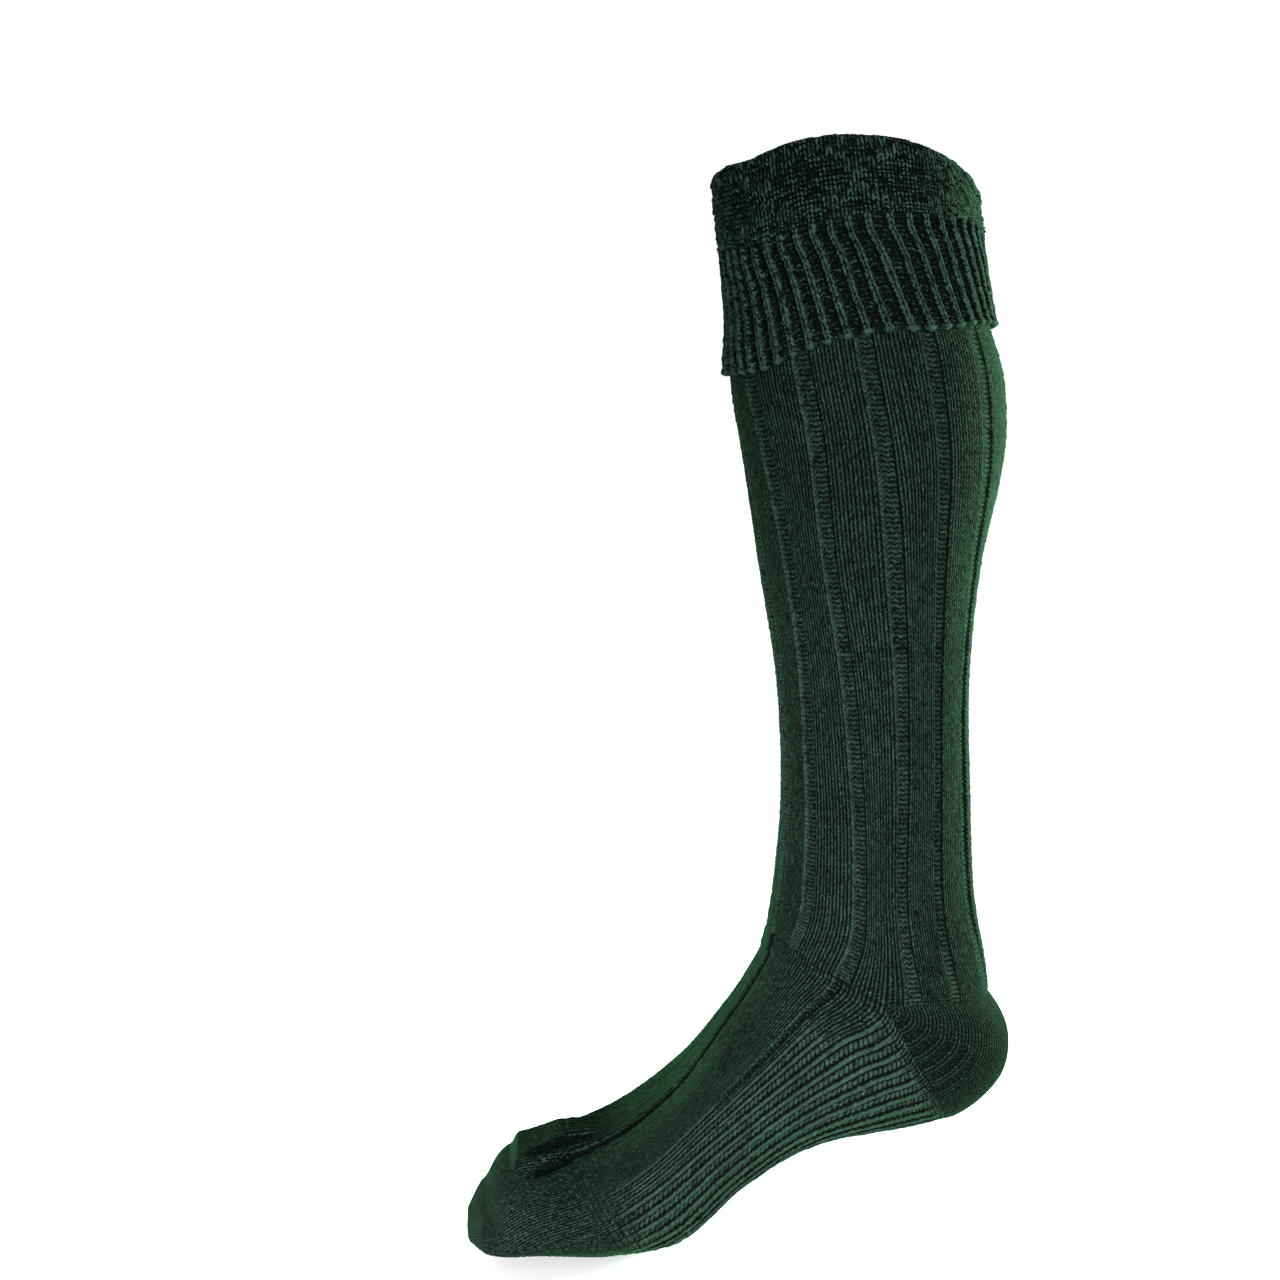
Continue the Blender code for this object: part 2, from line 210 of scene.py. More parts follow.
# The foot: its loose panel with a groove and a crease on each side, each a place and a width in wales,
# a line that fades along each side, and the ribs, which start round the sole and climb its sides
FOOT_COURSES = 62
INSTEP_SINK = 0.0012
INSTEP_SPREAD = 11.0
INSTEP_SPREAD_START = 0.3
INSTEP_BEND = np.array(((0, 0), (13, 1), (22, 1), (90, 0)))
GROOVE_DEPTH = 0.0018
GROOVE_PLACE = (4, 0.42)
GROOVE_EDGE = 0.0006
GROOVE_EDGE_PLACE = (2.9, 0.6)
CREASE_PLACE = (2.2, 0.4)
SEAM_DROP = 0.0003
SEAM_COURSES = 0.4
SIDE_LINE = 19
FOOT_LINE_FADE = (25, 35)
SOLE_RIB_RISE = 0.0006
SOLE_RIB_SINK = 0.0004
SOLE_RIB_WIDTH = 0.75
RIB_HALF = 0.45
RIB_ROUND = 0.8
# Painted shade at the edges of the sole ribs and between their teeth
RIB_EDGE_SHADE = 0.05
TOOTH_SHADES = (0.5, 1.1)
SOLE_RIB_EDGE = 0.0009
SOLE_TOOTH = 0.00055
SOLE_TOOTH_LEAN = 0.6
SOLE_SPREAD = 0.22
SOLE_SPREAD_END = 0.5
SOLE_START = 5
SIDE_RIBS = 19
SIDE_RIB_START = 8
UPPER_RIBS = 20
UPPER_RIB_START = 30
SIDE_RIB_GROW = 8
SOLE_END = 10

# The loose panel over the instep, in shares of the foot: its hump before the toes and its sag. Then
# where its groove lies: share of the foot, degrees from the front
INSTEP_HUMP = 0.0037
HUMP_SHARES = (0.60, 0.76)
HUMP_PEAK = (0.75, 0.07)
HUMP_PEAK_RISE = 0.7
HUMP_TURNS = (-16, -1)
INSTEP_SAG = 0.0023
SAG_PLACE = (0.47, 0.10)
SAG_TURNS = (20, 60)
GROOVE_LINE = np.array(((0.30, 13), (0.74, 24), (0.85, 32), (0.92, 42)))

# The heel: its wales and courses, those of its flanks, and the mitre line between leg and sole
HEEL_WALES = 46
HEEL_WALE_POINTS = 6
HEEL_COURSES = 34
HEEL_COURSE_POINTS = 5
HEEL_SIDE_WALES = 13
HEEL_FLANK = (-4, 2)
MITRE_SHARE = 0.457
MITRE_KNEE = 0.59
HEEL_RIB_SLOPE = 26.0
HEEL_RIB_START = 0.05
HEEL_RIB_POWER = 0.6
HEEL_PURL_GAP = 0.3
# Painted shade over the heel cup, and the share of the heel over which it grows
HEEL_CUP_SHADE = 0.80
HEEL_CUP_SHADE_SHARE = 0.3
ANGLE_STEPS = 193
COURSE_PITCH = 0.0023

# The toe: its points, where the groove, the crease and the lip of the loose panel end on it, and how deep,
# where and how widely it is flatter than the solid, on top and below
TOE_COLUMNS = 440
TOE_ROWS = 100
TOE_INNER_STEP = 5
TOE_WALE = 0.0024
TOE_GROOVE_WIDTH = 4
TOE_GROOVE_END = 0.78
TOE_CREASE_PLACE = 0.55
TOE_CREASE_WIDTH = 2.5
TOE_CREASE_END = 0.80
TOE_LIP_END = 0.85
TOE_LIP_SHARES = (0.845, 0.87)
TOE_SEAM = 0.005
TOE_DENT = 0.0050
TOE_DENT_PLACE = (0.952, 0.047)
TOE_DENT_TURNS = (40, 85)
TOE_TUCK = 0.0024
TOE_TUCK_PLACE = (0.985, 0.05)
TOE_TUCK_TURNS = (95, 140)

# The band, with the row of knobs at its lower end
BAND_COURSES = 15
BAND_STITCH_ROWS = 4
FOLD_COURSES = 6
BAND_RELIEF = 0.0004
BAND_UNEVEN = 0.00035
BAND_GAP = 0.9
BAND_TONE = 0.25
BAND_JITTER = 0.02
BAND_KNOB = 0.0010
BAND_KNOB_PLACE = (-0.9, 0.5)
BAND_KNOB_SWING = 0.4
GRAIN = 0.4
DIAMOND = 12
DIAMOND_LINE = (3, 5)

# The cuff's ribs, their lean near the band, and the bound edge with its teeth
CUFF_COURSES = 25
CUFF_COLUMN_X = np.array((-0.5, -0.32, -0.16, 0.0, 0.16, 0.32))
CUFF_VALLEY = 0.0005
CUFF_RIB_WIDTH = 0.85
CUFF_UNEVEN = 0.00015
CUFF_JITTER = 0.03
# Painted light on the cuff's ribs and painted shade in its purl valleys
CUFF_RIB_LIGHT = 1.1
CUFF_PURL_SHADE = 0.56
CUFF_KINK = 1.2
CUFF_KINK_SHARE = 0.12
CUFF_BIND = 0.0030
# Painted shade along the bound edge, and how much lighter its teeth are painted than the gaps between them
CUFF_BIND_SHADE = 0.75
CUFF_ROUND = 0.0014
CUFF_ROUND_REST = 1.02
CUFF_KNOB = 0.0009
CUFF_TOOTH = 0.0009
CUFF_TOOTH_SHARE = 0.3
CUFF_TOOTH_SHADE = 0.35
CUFF_TOOTH_JITTER = 0.3

# UV maps: the margin round the bake, the inner side's part of it, and the point for hidden edges
BAKE_EDGE = 0.01
INNER_BAKE = 0.49
BLANK_UV = 0.995

# Wool: its shader, its noises, and how they and the painted shade of the stitches' grooves turn into
# colours
SHADER = {
    "Roughness": 0.88,
    "Specular IOR Level": 0.02,
    "Sheen Weight": 0.05,
    "Sheen Roughness": 0.30,
    "Sheen Tint": (0.10, 0.60, 0.20, 1),
}
FIBRES = {"Scale": 1.6, "Detail": 4.0, "Roughness": 0.7}
SPECKS = {"Scale": 900.0, "Detail": 2.0, "Roughness": 0.6}
CLOUDS = {"Scale": 28.0, "Detail": 3.0, "Roughness": 0.55}
FIBRE_STRETCH = (5.0, 1.6, 1.0)
TONE_START = 0.48
TONE_SHIFT = -0.14
FIBRE_TONE = 0.28
FLECK_RANGE = {"From Min": 0.56, "From Max": 0.76, "To Min": 0.0, "To Max": 0.55}
CLOUD_RANGE = {"From Min": 0.3, "From Max": 0.7, "To Min": 0.82, "To Max": 1.15}

# Painted groove shade, stitch top and fleck of each wool
GREEN_SHADES = ((0.0001, 0.0003, 0.0002), (0.0062, 0.0142, 0.0105), (0.0220, 0.0450, 0.0340))
DARK_SHADES = ((0.0001, 0.0003, 0.0003), (0.0082, 0.0178, 0.0138), (0.0280, 0.0560, 0.0440))

# Camera, from the photograph's perspective
CAMERA_TURN = 76.0
CAMERA_REACH = 0.640
CAMERA_HEIGHT = -0.207
CAMERA_FOCUS = 1334.0
CAMERA_CENTRE = (866.0, 614.0)
IMAGE_SIZE = 1280.0
SENSOR = 36.0

# Floor, world and lights. Each light: name; degrees round the sock from the front, height and distance;
# width and height; watts; the height it faces; spread in degrees; colour
FLOOR_DROP = 0.0012
FLOOR_SIZE = 12.0
FLOOR_COLOUR = (0.875, 0.875, 0.875, 1)
FLOOR_ROUGHNESS = 0.9
WORLD_STRENGTH = 1.15
LIGHTS = (
    ("rim", 190, -0.05, 1.1, (0.3, 0.6), 34, -0.10, 90, (0.5, 1.0, 0.62)),
    ("key", 110, -0.38, 0.8, (0.3, 0.2), 1.0, -0.38, 60, (1, 1, 1)),
    ("top", 95, 0.05, 0.8, (0.3, 0.2), 2.2, -0.02, 60, (1, 1, 1)),
    ("fill", 60, -0.40, 0.9, (0.5, 0.15), 5.8, -0.47, 60, (1, 1, 1)),
)


def arm(heading, reach):
    """Y and Z of an arm of the given reach."""
    angle = math.radians(heading)
    return math.cos(angle) * reach, math.sin(angle) * reach


def ring_tables():
    """Centre line with front arms and side reaches, and the back arms, as rows to be read smoothly."""
    spine = []
    back = []
    half = CALF_WIDTH / 2
    for share, centre, front, rear, inner, outer, front_tilt, rear_tilt in LEG_RINGS:
        middle = (centre * CALF_DEPTH, -share * LEG_LENGTH)
        sides = (inner * half, outer * half)
        spine.append((share, *middle, *arm(180 - front_tilt, front * CALF_DEPTH), *sides))
        back.append((share, *arm(-rear_tilt, rear * CALF_DEPTH)))
    ankle = (ANKLE_SHIFT, -LEG_LENGTH)
    half = ANKLE_WIDTH / 2
    spine.append((1.0, *ankle, *arm(INSTEP_HEADING, INSTEP_REACH), half, half))
    back.append((1.0, *arm(TENDON_HEADING, TENDON_REACH)))
    sweep = ARCH_HEADING - TENDON_HEADING
    for share, reach in HEEL_RAYS:
        back.append((1 + share, *arm(TENDON_HEADING + sweep * share, reach * HEEL_REACH)))
    back.append((2.0, *arm(ARCH_HEADING, ARCH_REACH)))
    along = arm(180 + FOOT_DROP, FOOT_LENGTH)
    down = arm(FOOT_DROP - 90, FOOT_HEIGHT)
    half = FOOT_WIDTH / 2
    for share, sink, top, sole, inner, outer, top_lean, sole_lean in FOOT_RINGS:
        middle = [ankle[i] + share * along[i] + sink * down[i] for i in (0, 1)]
        sides = (inner * half, outer * half)
        spine.append((1 + share, *middle, *arm(90 + FOOT_DROP + top_lean, top * FOOT_HEIGHT), *sides))
        back.append((2 + share, *arm(FOOT_DROP - 90 - sole_lean, sole * FOOT_HEIGHT)))
    return np.array(spine), np.array(back)


SPINE, BACK = ring_tables()


def read(table, at):
    """Smooth curve through a table's rows, read where its first column has the values `at`."""
    mark = table[:, 0]
    last = len(mark) - 1
    low = np.maximum(np.arange(last + 1) - 1, 0)
    high = np.minimum(np.arange(last + 1) + 1, last)
    slope = (table[high] - table[low]) / (mark[high] - mark[low])[:, None]
    row = np.clip(np.searchsorted(mark, at, side="right") - 1, 0, last - 1)
    span = (mark[row + 1] - mark[row])[..., None]
    s = (at - mark[row])[..., None] / span
    start = (2 * s**3 - 3 * s**2 + 1) * table[row] + (s**3 - 2 * s**2 + s) * span * slope[row]
    end = (3 * s**2 - 2 * s**3) * table[row + 1] + (s**3 - s**2) * span * slope[row + 1]
    return start + end


def eased(table, at, joint, ease):
    """As read, but past a joint the curve starts afresh by the share `ease`, so that it makes no bump."""
    row = np.flatnonzero(table[:, 0] == joint)[0]
    fresh = read(table[row:], np.maximum(at, joint))
    share = np.where(at > joint, ease, 0)[..., None]
    return read(table, at) * (1 - share) + fresh * share


def turned(angle):
    """Rim lift and lower ends of band and cuff, as shares, at the given angles."""
    return read(CUFF_TURNS, np.degrees(angle + math.pi) % 360 - 180)


def skin(front_at, back_at, angle):
    """Points of the sock's surface, as in the solids but without their small bump behind the arch.
    Angle 0 is the front."""
    front_at, back_at, angle = np.broadcast_arrays(front_at, back_at, angle)
    is_front = np.cos(angle) >= 0
    back_spine = np.where(back_at < 1, back_at, np.maximum(back_at - 1, 1))
    ease = smooth(0, ARCH_EASE, -np.cos(angle))
    ring = eased(SPINE, np.where(is_front, front_at, back_spine), 1, ease)
    rear = eased(BACK, back_at, 2, ease)
    power = 2 / SQUARENESS
    reach = np.where(is_front[..., None], ring[..., 3:5], rear[..., 1:3])
    out = reach * (np.abs(np.cos(angle)) ** power)[..., None]
    sine = np.sin(angle)
    side = np.where(sine > 0, ring[..., 5], ring[..., 6]) * np.sign(sine) * np.abs(sine) ** power
    fade = np.clip(1 - np.where(is_front, front_at, back_at) / RIM_SHARE, 0, 1) ** 2
    lift = RIM_LIFT * turned(angle)[..., 1] * fade
    return np.stack((side, ring[..., 1] + out[..., 0], ring[..., 2] + out[..., 1] + lift), -1)


def knitted(place, at):
    """Angle at which a place round the knitting, an angle too, lies at a share of the leg's length."""
    place, at = np.broadcast_arrays(np.degrees(place), at)
    lines = read(KNIT_LINES, at)[..., 1:]
    turns = np.floor(place / 360) * 360
    side = np.minimum(place - turns, 360 - (place - turns))
    low = np.clip(np.searchsorted(LINE_PLACES, side, side="right") - 1, 0, len(LINE_PLACES) - 2)
    near, far = (np.take_along_axis(lines, (low + i)[..., None], -1)[..., 0] for i in (0, 1))
    start, end = LINE_PLACES[low], LINE_PLACES[low + 1]
    inner = near + (far - near) * (side - start) / (end - start)
    front, back = 2 * lines[..., 0], 2 * lines[..., -1] - 360
    outer = 360 - inner + front + (back - front) * side / 180
    return np.radians(np.where(place - turns > 180, outer, inner) + turns)


def normals(front_at, back_at, angle):
    """Outward normals of the surface."""
    ahead = skin(np.minimum(front_at + SLOPE_STEP, 2), np.minimum(back_at + SLOPE_STEP, 3), angle)
    behind = skin(np.maximum(front_at - SLOPE_STEP, 0), np.maximum(back_at - SLOPE_STEP, 0), angle)
    left = skin(front_at, back_at, angle + SLOPE_STEP)
    right = skin(front_at, back_at, angle - SLOPE_STEP)
    across = np.cross(left - right, behind - ahead)
    return across / np.maximum(np.linalg.norm(across, axis=-1, keepdims=True), 1e-9)


def raised(front_at, back_at, angle, height):
    """Points at a height above the surface."""
    front_at, back_at, angle, height = np.broadcast_arrays(front_at, back_at, angle, height)
    return skin(front_at, back_at, angle) + normals(front_at, back_at, angle) * height[..., None]


def smooth(low, high, value):
    """0 below low, 1 above high, and smooth between."""
    s = np.clip((value - low) / (high - low), 0, 1)
    return s * s * (3 - 2 * s)


def bell(value, middle, width):
    """1 at the middle, falling off smoothly to both sides over about a width."""
    return np.exp(-((value - middle) / width) ** 2)


def turn_of(angle):
    """Degrees from the front, the same to both sides."""
    return np.abs(np.degrees((angle + math.pi) % (2 * math.pi) - math.pi))


def wale_angle(place):
    """Angle of a place that is counted in wales, as if the wales were evenly spread."""
    return 2 * math.pi * place / WALES


# Mesh building


def placed(name, data):
    """New object in the scene."""
    made = bpy.data.objects.new(name, data)
    bpy.context.collection.objects.link(made)
    return made


def make_piece(name, points, faces, uvs, painted_shade_and_mottle, node, wool):
    """Piece from points, groups of equal-sided faces and the same groups of UV pairs."""
    mesh = bpy.data.meshes.new(name)
    mesh.vertices.add(len(points))
    mesh.vertices.foreach_set("co", np.ascontiguousarray(points, dtype=np.float32).ravel())
    corners = np.concatenate([group.ravel() for group in faces])
    totals = np.concatenate([np.full(len(group), group.shape[1]) for group in faces])
    starts = np.concatenate(((0,), np.cumsum(totals)[:-1]))
    mesh.loops.add(len(corners))
    mesh.loops.foreach_set("vertex_index", corners.astype(np.int32))
    mesh.polygons.add(len(totals))
    mesh.polygons.foreach_set("loop_start", starts.astype(np.int32))
    for layer, pick in (("OFBake", 0), ("Knit", 1)):
        flat = np.concatenate([group[..., pick, :].reshape(-1, 2) for group in uvs])
        mesh.uv_layers.new(name=layer).data.foreach_set("uv", flat.astype(np.float32).ravel())
    # Painted shade, darker in the grooves and on the inside, with chance speckle, kept on the points for
    # the wool's colour
    speckled_shade = np.ravel(painted_shade_and_mottle) * RANDOM.normal(1, SPECKLE, len(points))
    shade = mesh.attributes.new("painted_shade_and_mottle", "FLOAT", "POINT")
    shade.data.foreach_set("value", speckled_shade.astype(np.float32))
    mesh.validate()
    mesh.update()
    mesh.materials.append(wool)
    mesh.shade_smooth()
    made = placed(name, mesh)
    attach(made, "root")
    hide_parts(node)
    return made


def grid_faces(rows, columns, wrap_rows, wrap_columns):
    """Corner numbers and grid places of the quads of a grid."""
    i = np.arange(rows if wrap_rows else rows - 1)[:, None]
    j = np.arange(columns if wrap_columns else columns - 1)[None]
    i, j = (part.ravel() for part in np.broadcast_arrays(i, j))
    places = np.stack((np.stack((i, i + 1, i + 1, i), 1), np.stack((j, j, j + 1, j + 1), 1)), -1)
    corners = (places[..., 0] % rows) * columns + places[..., 1] % columns
    return corners, places


def grid_uvs(places, rows, columns, knit, period):
    """Bake and knit UV pairs of grid quads. Knit values past the last column go on by the period."""
    i, j = places[..., 0], places[..., 1]
    room = 1 - 2 * BAKE_EDGE
    bake = BAKE_EDGE + np.stack((room * j / columns, room * i / rows), -1)
    row = np.minimum(i, rows - 1)
    wrapped = knit[row, j % columns] + (j >= columns)[..., None] * np.array((period, 0))
    return np.stack((bake, wrapped), -2)


def blank_uvs(group):
    """UV pairs of faces that stay hidden, all at one point of the bake."""
    return np.full((*group.shape, 2, 2), BLANK_UV)


def ring_piece(name, outer, inner, place, course, painted_shade_and_mottle, node, wool):
    """Closed tube: rows of outer points, each with its wale, course and painted groove shade, and, going
    back, rows of inner points, which are painted in shade."""
    points = np.concatenate((outer, inner))
    rows, columns = points.shape[:2]
    knit = np.stack((place, np.broadcast_to(course[:, None], place.shape)), -1)
    knit = np.concatenate((knit, np.repeat(knit[-1:], len(inner), 0)))
    painted_shade_and_mottle = np.concatenate((painted_shade_and_mottle, np.full(inner.shape[:2], INNER_SHADE)))
    corners, places = grid_faces(rows, columns, True, True)
    uvs = grid_uvs(places, rows, columns, knit, WALES)
    return make_piece(name, points.reshape(-1, 3), [corners], [uvs], painted_shade_and_mottle, node, wool)


# Knitting


def leg_shape(x):
    """0 in the middle and at both edges of a wale, 1 on the two legs of its stitches."""
    return 1 - ((np.abs(x) - 0.25) / 0.25) ** 2


def bead_shape(course):
    """0 where one stitch meets the next along a wale, 1 half-way."""
    return 1 - np.abs(2 * (course % 1) - 1) ** BEAD_POWER


def stitch_relief(knit, base, course, column_x, rows_fade, purl_gap=0.2):
    """Heights and shifts along the wales, in courses, of a grid of stitches. knit and base have a value
    for each row of points and each wale."""
    bead = bead_shape(course)
    heights = []
    shifts = []
    for x in column_x:
        leg = leg_shape(x)
        gap = MIDDLE_GROOVE if x == 0 else 1.0
        plain = -gap * LEG_GROOVE * (1 - leg) - COURSE_GROOVE * (1 - bead)
        purl = -PURL_GROOVE * (1 - bead) - purl_gap * LEG_GROOVE * (1 - leg)
        height = base + np.where(knit, plain[:, None], purl[:, None])
        shift = np.where(knit, 2 * LEAN * abs(x), -PURL_WAVE * math.cos(2 * math.pi * x))
        if x == column_x[0]:
            other = np.roll(height, 1, axis=1)
            height = EDGE_SHARE * np.maximum(height, other) + (1 - EDGE_SHARE) * np.minimum(height, other)
            shift = (shift + np.roll(shift, 1, axis=1)) / 2
        heights.append(height)
        shifts.append(shift * rows_fade[:, None])
    return tuple(np.stack(part, -1).reshape(len(course), -1) for part in (heights, shifts))


def slanted_relief(x, course, gap):
    """Height of plain stitches at any places and courses. `gap` is the share of the groove between legs."""
    bead = bead_shape(course - 2 * LEAN * np.abs(x))
    return -LEG_GROOVE * (1 - leg_shape(x)) * gap - FREE_COURSE_GROOVE * (1 - bead)


def column_wales(column_x):
    """Row of the places of the columns of points, counted in wales from the first wale's front edge."""
    return (np.arange(WALES)[:, None] + 0.5 + column_x).reshape(1, -1)


def widened(values):
    """Values of wales repeated for all their columns of points."""
    return np.repeat(values, len(COLUMN_X), axis=-1)


def end_fade(course, last):
    """1 in the body of a piece and 0 at its two ends, where the stitches meet a straight edge."""
    return np.clip(np.minimum(course, last - course) / END_FADE, 0, 1)


def odd_stitches(courses, rows, column_x):
    """Chance differences between stitches, the same over all the points of one stitch."""
    values = np.clip(RANDOM.normal(0, 1, (courses + 2, WALES)), -2, 2)
    picked = values[np.minimum(rows.astype(int), courses + 1)]
    return np.repeat(picked, len(column_x), axis=1)


def close_ends(rows, gap):
    """The same rows with the second and the last but one close to the ends, which keeps the edges sharp."""
    rows[1] = rows[0] + gap
    rows[-2] = rows[-1] - gap
    return rows


def shade_share(height, base):
    """Painted shade: share from a dark, shaded groove, 0, to the top of a stitch, 1."""
    return np.clip(1 + (height - base) / SHADE_DEPTH, 0, 1)


def leg_stitches(course, at):
    """Heights, shifts and painted shade of the leg's stitches, darkest in grooves, purl lines and round the
    heel.
    """
    in_panel = np.arange(WALES) % PANEL_WALES
    purl = np.broadcast_to(np.isin(in_panel, LINE_WALES), (len(at), WALES))
    edge = np.isin(in_panel, LINE_EDGES)
    sink = np.interp(at, PURL_SINK[:, 0], PURL_SINK[:, 1])[:, None]
    ends = (SIDES >= SIDE_WALE) | np.isin(SIDES, ENDING_WALES)
    fade = np.where(ends, 1 - smooth(HEEL_FADE, 1, at)[:, None], 1)
    base = PANEL_RISE + np.where(purl, -sink * fade, np.where(edge, EDGE_RISE, 0.0))
    height, shift = stitch_relief(~purl, base, course, COLUMN_X, end_fade(course, LEG_COURSES))
    # Painted shade: the back of the lower leg darker towards the heel, and the purl lines darker, though
    # not below a floor
    low = smooth(HEEL_SHADE_START, 1, at)[:, None] * (SIDES >= SIDE_WALE)
    shade_dim = widened(np.where(purl, 1 - LINE_SHADE * fade, 1) * (1 - HEEL_SHADE * low))
    least = widened(np.where(purl, LINE_SHADE_FLOOR, 0))
    odd = odd_stitches(LEG_COURSES, course, COLUMN_X)
    painted_shade_and_mottle = (least + (1 - least) * shade_share(height, widened(base))) * shade_dim * (1 + STITCH_TONE * odd)
    return height + UNEVEN * odd, shift, painted_shade_and_mottle


def leg_part(name, first, last, wool):
    """Knitted shell of the leg from one course to another. The first courses lie under the cuff."""
    course = close_ends(np.arange(first * STITCH_ROWS, last * STITCH_ROWS + 1) / STITCH_ROWS, END_GAP)
    top = HIDDEN_DROP / LEG_LENGTH
    per_course = (1 - top) / LEG_COURSES
    at = top + course * per_course
    height, shift, painted_shade_and_mottle = leg_stitches(course, at)
    place = column_wales(COLUMN_X) + RANDOM.normal(0, WALE_JITTER, height.shape)
    shift = shift + RANDOM.normal(0, COURSE_JITTER, height.shape) * (shift != 0)
    at = np.clip(at[:, None] + shift * per_course, top, 1)
    outer = raised(at, at, knitted(wale_angle(place), at), height)
    straight = wale_angle(column_wales(COLUMN_X))
    start = top + first * per_course
    if first == 0:
        hidden = np.linspace((FOLD + FOLD_GAP) / LEG_LENGTH, top, HIDDEN_ROWS + 1)[:-1, None]
        covered = raised(hidden, hidden, knitted(straight, hidden), PANEL_RISE / 2)
        outer = np.concatenate((covered, outer))
        place, course, painted_shade_and_mottle = (np.concatenate((np.repeat(part[:1], HIDDEN_ROWS, 0), part))
                                 for part in (place, course, painted_shade_and_mottle))
        start = hidden[0, 0]
    back = np.linspace(top + last * per_course, start, INNER_ROWS)[:, None]
    inner = raised(back, back, knitted(straight, back), -WALL)
    return ring_piece(name, outer, inner, place, course, painted_shade_and_mottle, "leg_tube", wool)


def even_angles(front_at, back_at, first, last, count):
    """For each ring, angles from first to last that are evenly spaced along the surface."""
    fine = np.linspace(first, last, FINE_STEPS)
    rings = skin(front_at[:, None], back_at[:, None], fine[None])
    steps = np.linalg.norm(np.diff(rings, axis=1), axis=-1)
    travel = np.concatenate((np.zeros((len(steps), 1)), np.cumsum(steps, 1)), 1)
    travel /= travel[:, -1:]
    share = np.linspace(0, 1, count)
    return np.array([np.interp(share, row, fine) for row in travel])


def foot_angles(at, place):
    """Angle of each place, counted in wales: as on the ankle over the instep, spread round the sole."""
    even = even_angles(at, at + 1, math.pi / 2, 3 * math.pi / 2, WALES + 1)
    t = np.clip((place - SIDE_WALE) / (WALES - 2 * SIDE_WALE), 0, 1)
    side = np.minimum(t, 1 - t) * 2
    spread = SOLE_SPREAD * (1 - smooth(0, SOLE_SPREAD_END, at - 1))[:, None]
    way = side * (1 + spread * (1 - side)) / 2
    way = np.where(t > 0.5, 1 - way, way)
    sole = np.array([np.interp(ways, np.linspace(0, 1, WALES + 1), row) for ways, row in zip(way, even)])
    top = knitted(wale_angle(place), 1.0)
    bend = np.interp(turn_of(top), INSTEP_BEND[:, 0], INSTEP_BEND[:, 1]) * np.sign(np.sin(top))
    top = top + np.radians(INSTEP_SPREAD * bend * smooth(INSTEP_SPREAD_START, TOE_SHARE, at - 1)[:, None])
    is_sole = (place > SIDE_WALE) & (place < WALES - SIDE_WALE)
    return np.where(is_sole, sole, top)


def narrowed(place, start, width):
    """Of each two wales from a start, the first takes the given width and the second the rest."""
    pair = (place - start) % 2
    narrow = np.where(pair < 1, pair * width, width + (pair - 1) * (2 - width))
    return place - pair + narrow


def rib_stitches(course, x, is_knit):
    """Heights, shifts and painted shade of sole ribs: a smooth thin ridge, then a band of slanted teeth,
    with painted shade at the edges and between the teeth. `course` has the rows and `x` and `is_knit` the
    columns of points."""
    edge = np.abs(x) > RIB_HALF
    ridge = SOLE_RIB_RISE * np.cos(math.pi * x * RIB_ROUND)
    bead = 1 - np.abs(2 * (course[..., None] % 1) - 1) ** 2
    across = 1 - (2 * x) ** 2
    teeth = -SOLE_RIB_SINK - SOLE_TOOTH * (1 - bead * across)
    height = np.where(is_knit, ridge, teeth)
    height = np.where(edge, -SOLE_RIB_EDGE, height)
    shift = np.where(is_knit, 0.0, SOLE_TOOTH_LEAN * 2 * x)
    shift = np.where(edge, 0.0, shift)
    low, high = TOOTH_SHADES
    shade = np.where(is_knit, 1.0, (low + (high - low) * bead) * across)
    shade = np.where(edge, RIB_EDGE_SHADE, shade)
    return height + PANEL_RISE / 2, shift, shade


def groove_turn(at):
    """Degrees from the front to the groove beside the loose panel."""
    return np.interp(at, GROOVE_LINE[:, 0], GROOVE_LINE[:, 1])


def instep_rise(at, angle):
    """Height of the loose panel over the instep, which sags half-way and stands up before the toes."""
    turn = turn_of(angle)
    hump = smooth(*HUMP_SHARES, at) * (1 - smooth(*TOE_LIP_SHARES, at))
    hump = hump * (1 + HUMP_PEAK_RISE * bell(at, *HUMP_PEAK))
    hump = hump * (1 - smooth(*HUMP_TURNS, turn - groove_turn(at)))
    sag = bell(at, *SAG_PLACE) * (1 - smooth(*SAG_TURNS, turn))
    return INSTEP_HUMP * hump - INSTEP_SAG * sag


def foot_stitches(course, ending, is_sole):
    """Heights, shifts and painted groove shade of the foot's plain stitches, with a line that fades along
    each side.
    """
    fading = 1 - smooth(*FOOT_LINE_FADE, course)[:, None]
    depth = np.where(SIDES == SIDE_LINE, fading, 0.0)
    purl = depth > 0
    base = PANEL_RISE * (1 + ending) / 2 - INSTEP_SINK * depth * ending
    height, shift = stitch_relief(~purl, base, course, COLUMN_X, end_fade(course, FOOT_COURSES))
    painted_shade_and_mottle = shade_share(height, widened(base)) * np.where(widened(purl), PURL_SHADE, 1.0)
    level = np.full(base.shape, PANEL_RISE / 2)
    plain = stitch_relief(np.ones_like(purl), level, course, COLUMN_X, 0 * course)[0]
    height = np.where(is_sole, plain, height)
    shift = np.where(is_sole, 0, shift)
    return height, shift, np.where(is_sole, shade_share(plain, PANEL_RISE / 2), painted_shade_and_mottle)


def rib_growth(course, ending, is_sole):
    """Share of each point that the ribs have taken, round the sole and further on up its sides."""
    begin = np.where(SIDES > UPPER_RIBS, SIDE_RIB_START, UPPER_RIB_START)
    climbed = smooth(begin, begin + SIDE_RIB_GROW, course[:, None]) * ending * (SIDES >= SIDE_RIBS)
    return np.where(is_sole, smooth(0, SOLE_START, course)[:, None] * ending, widened(climbed))


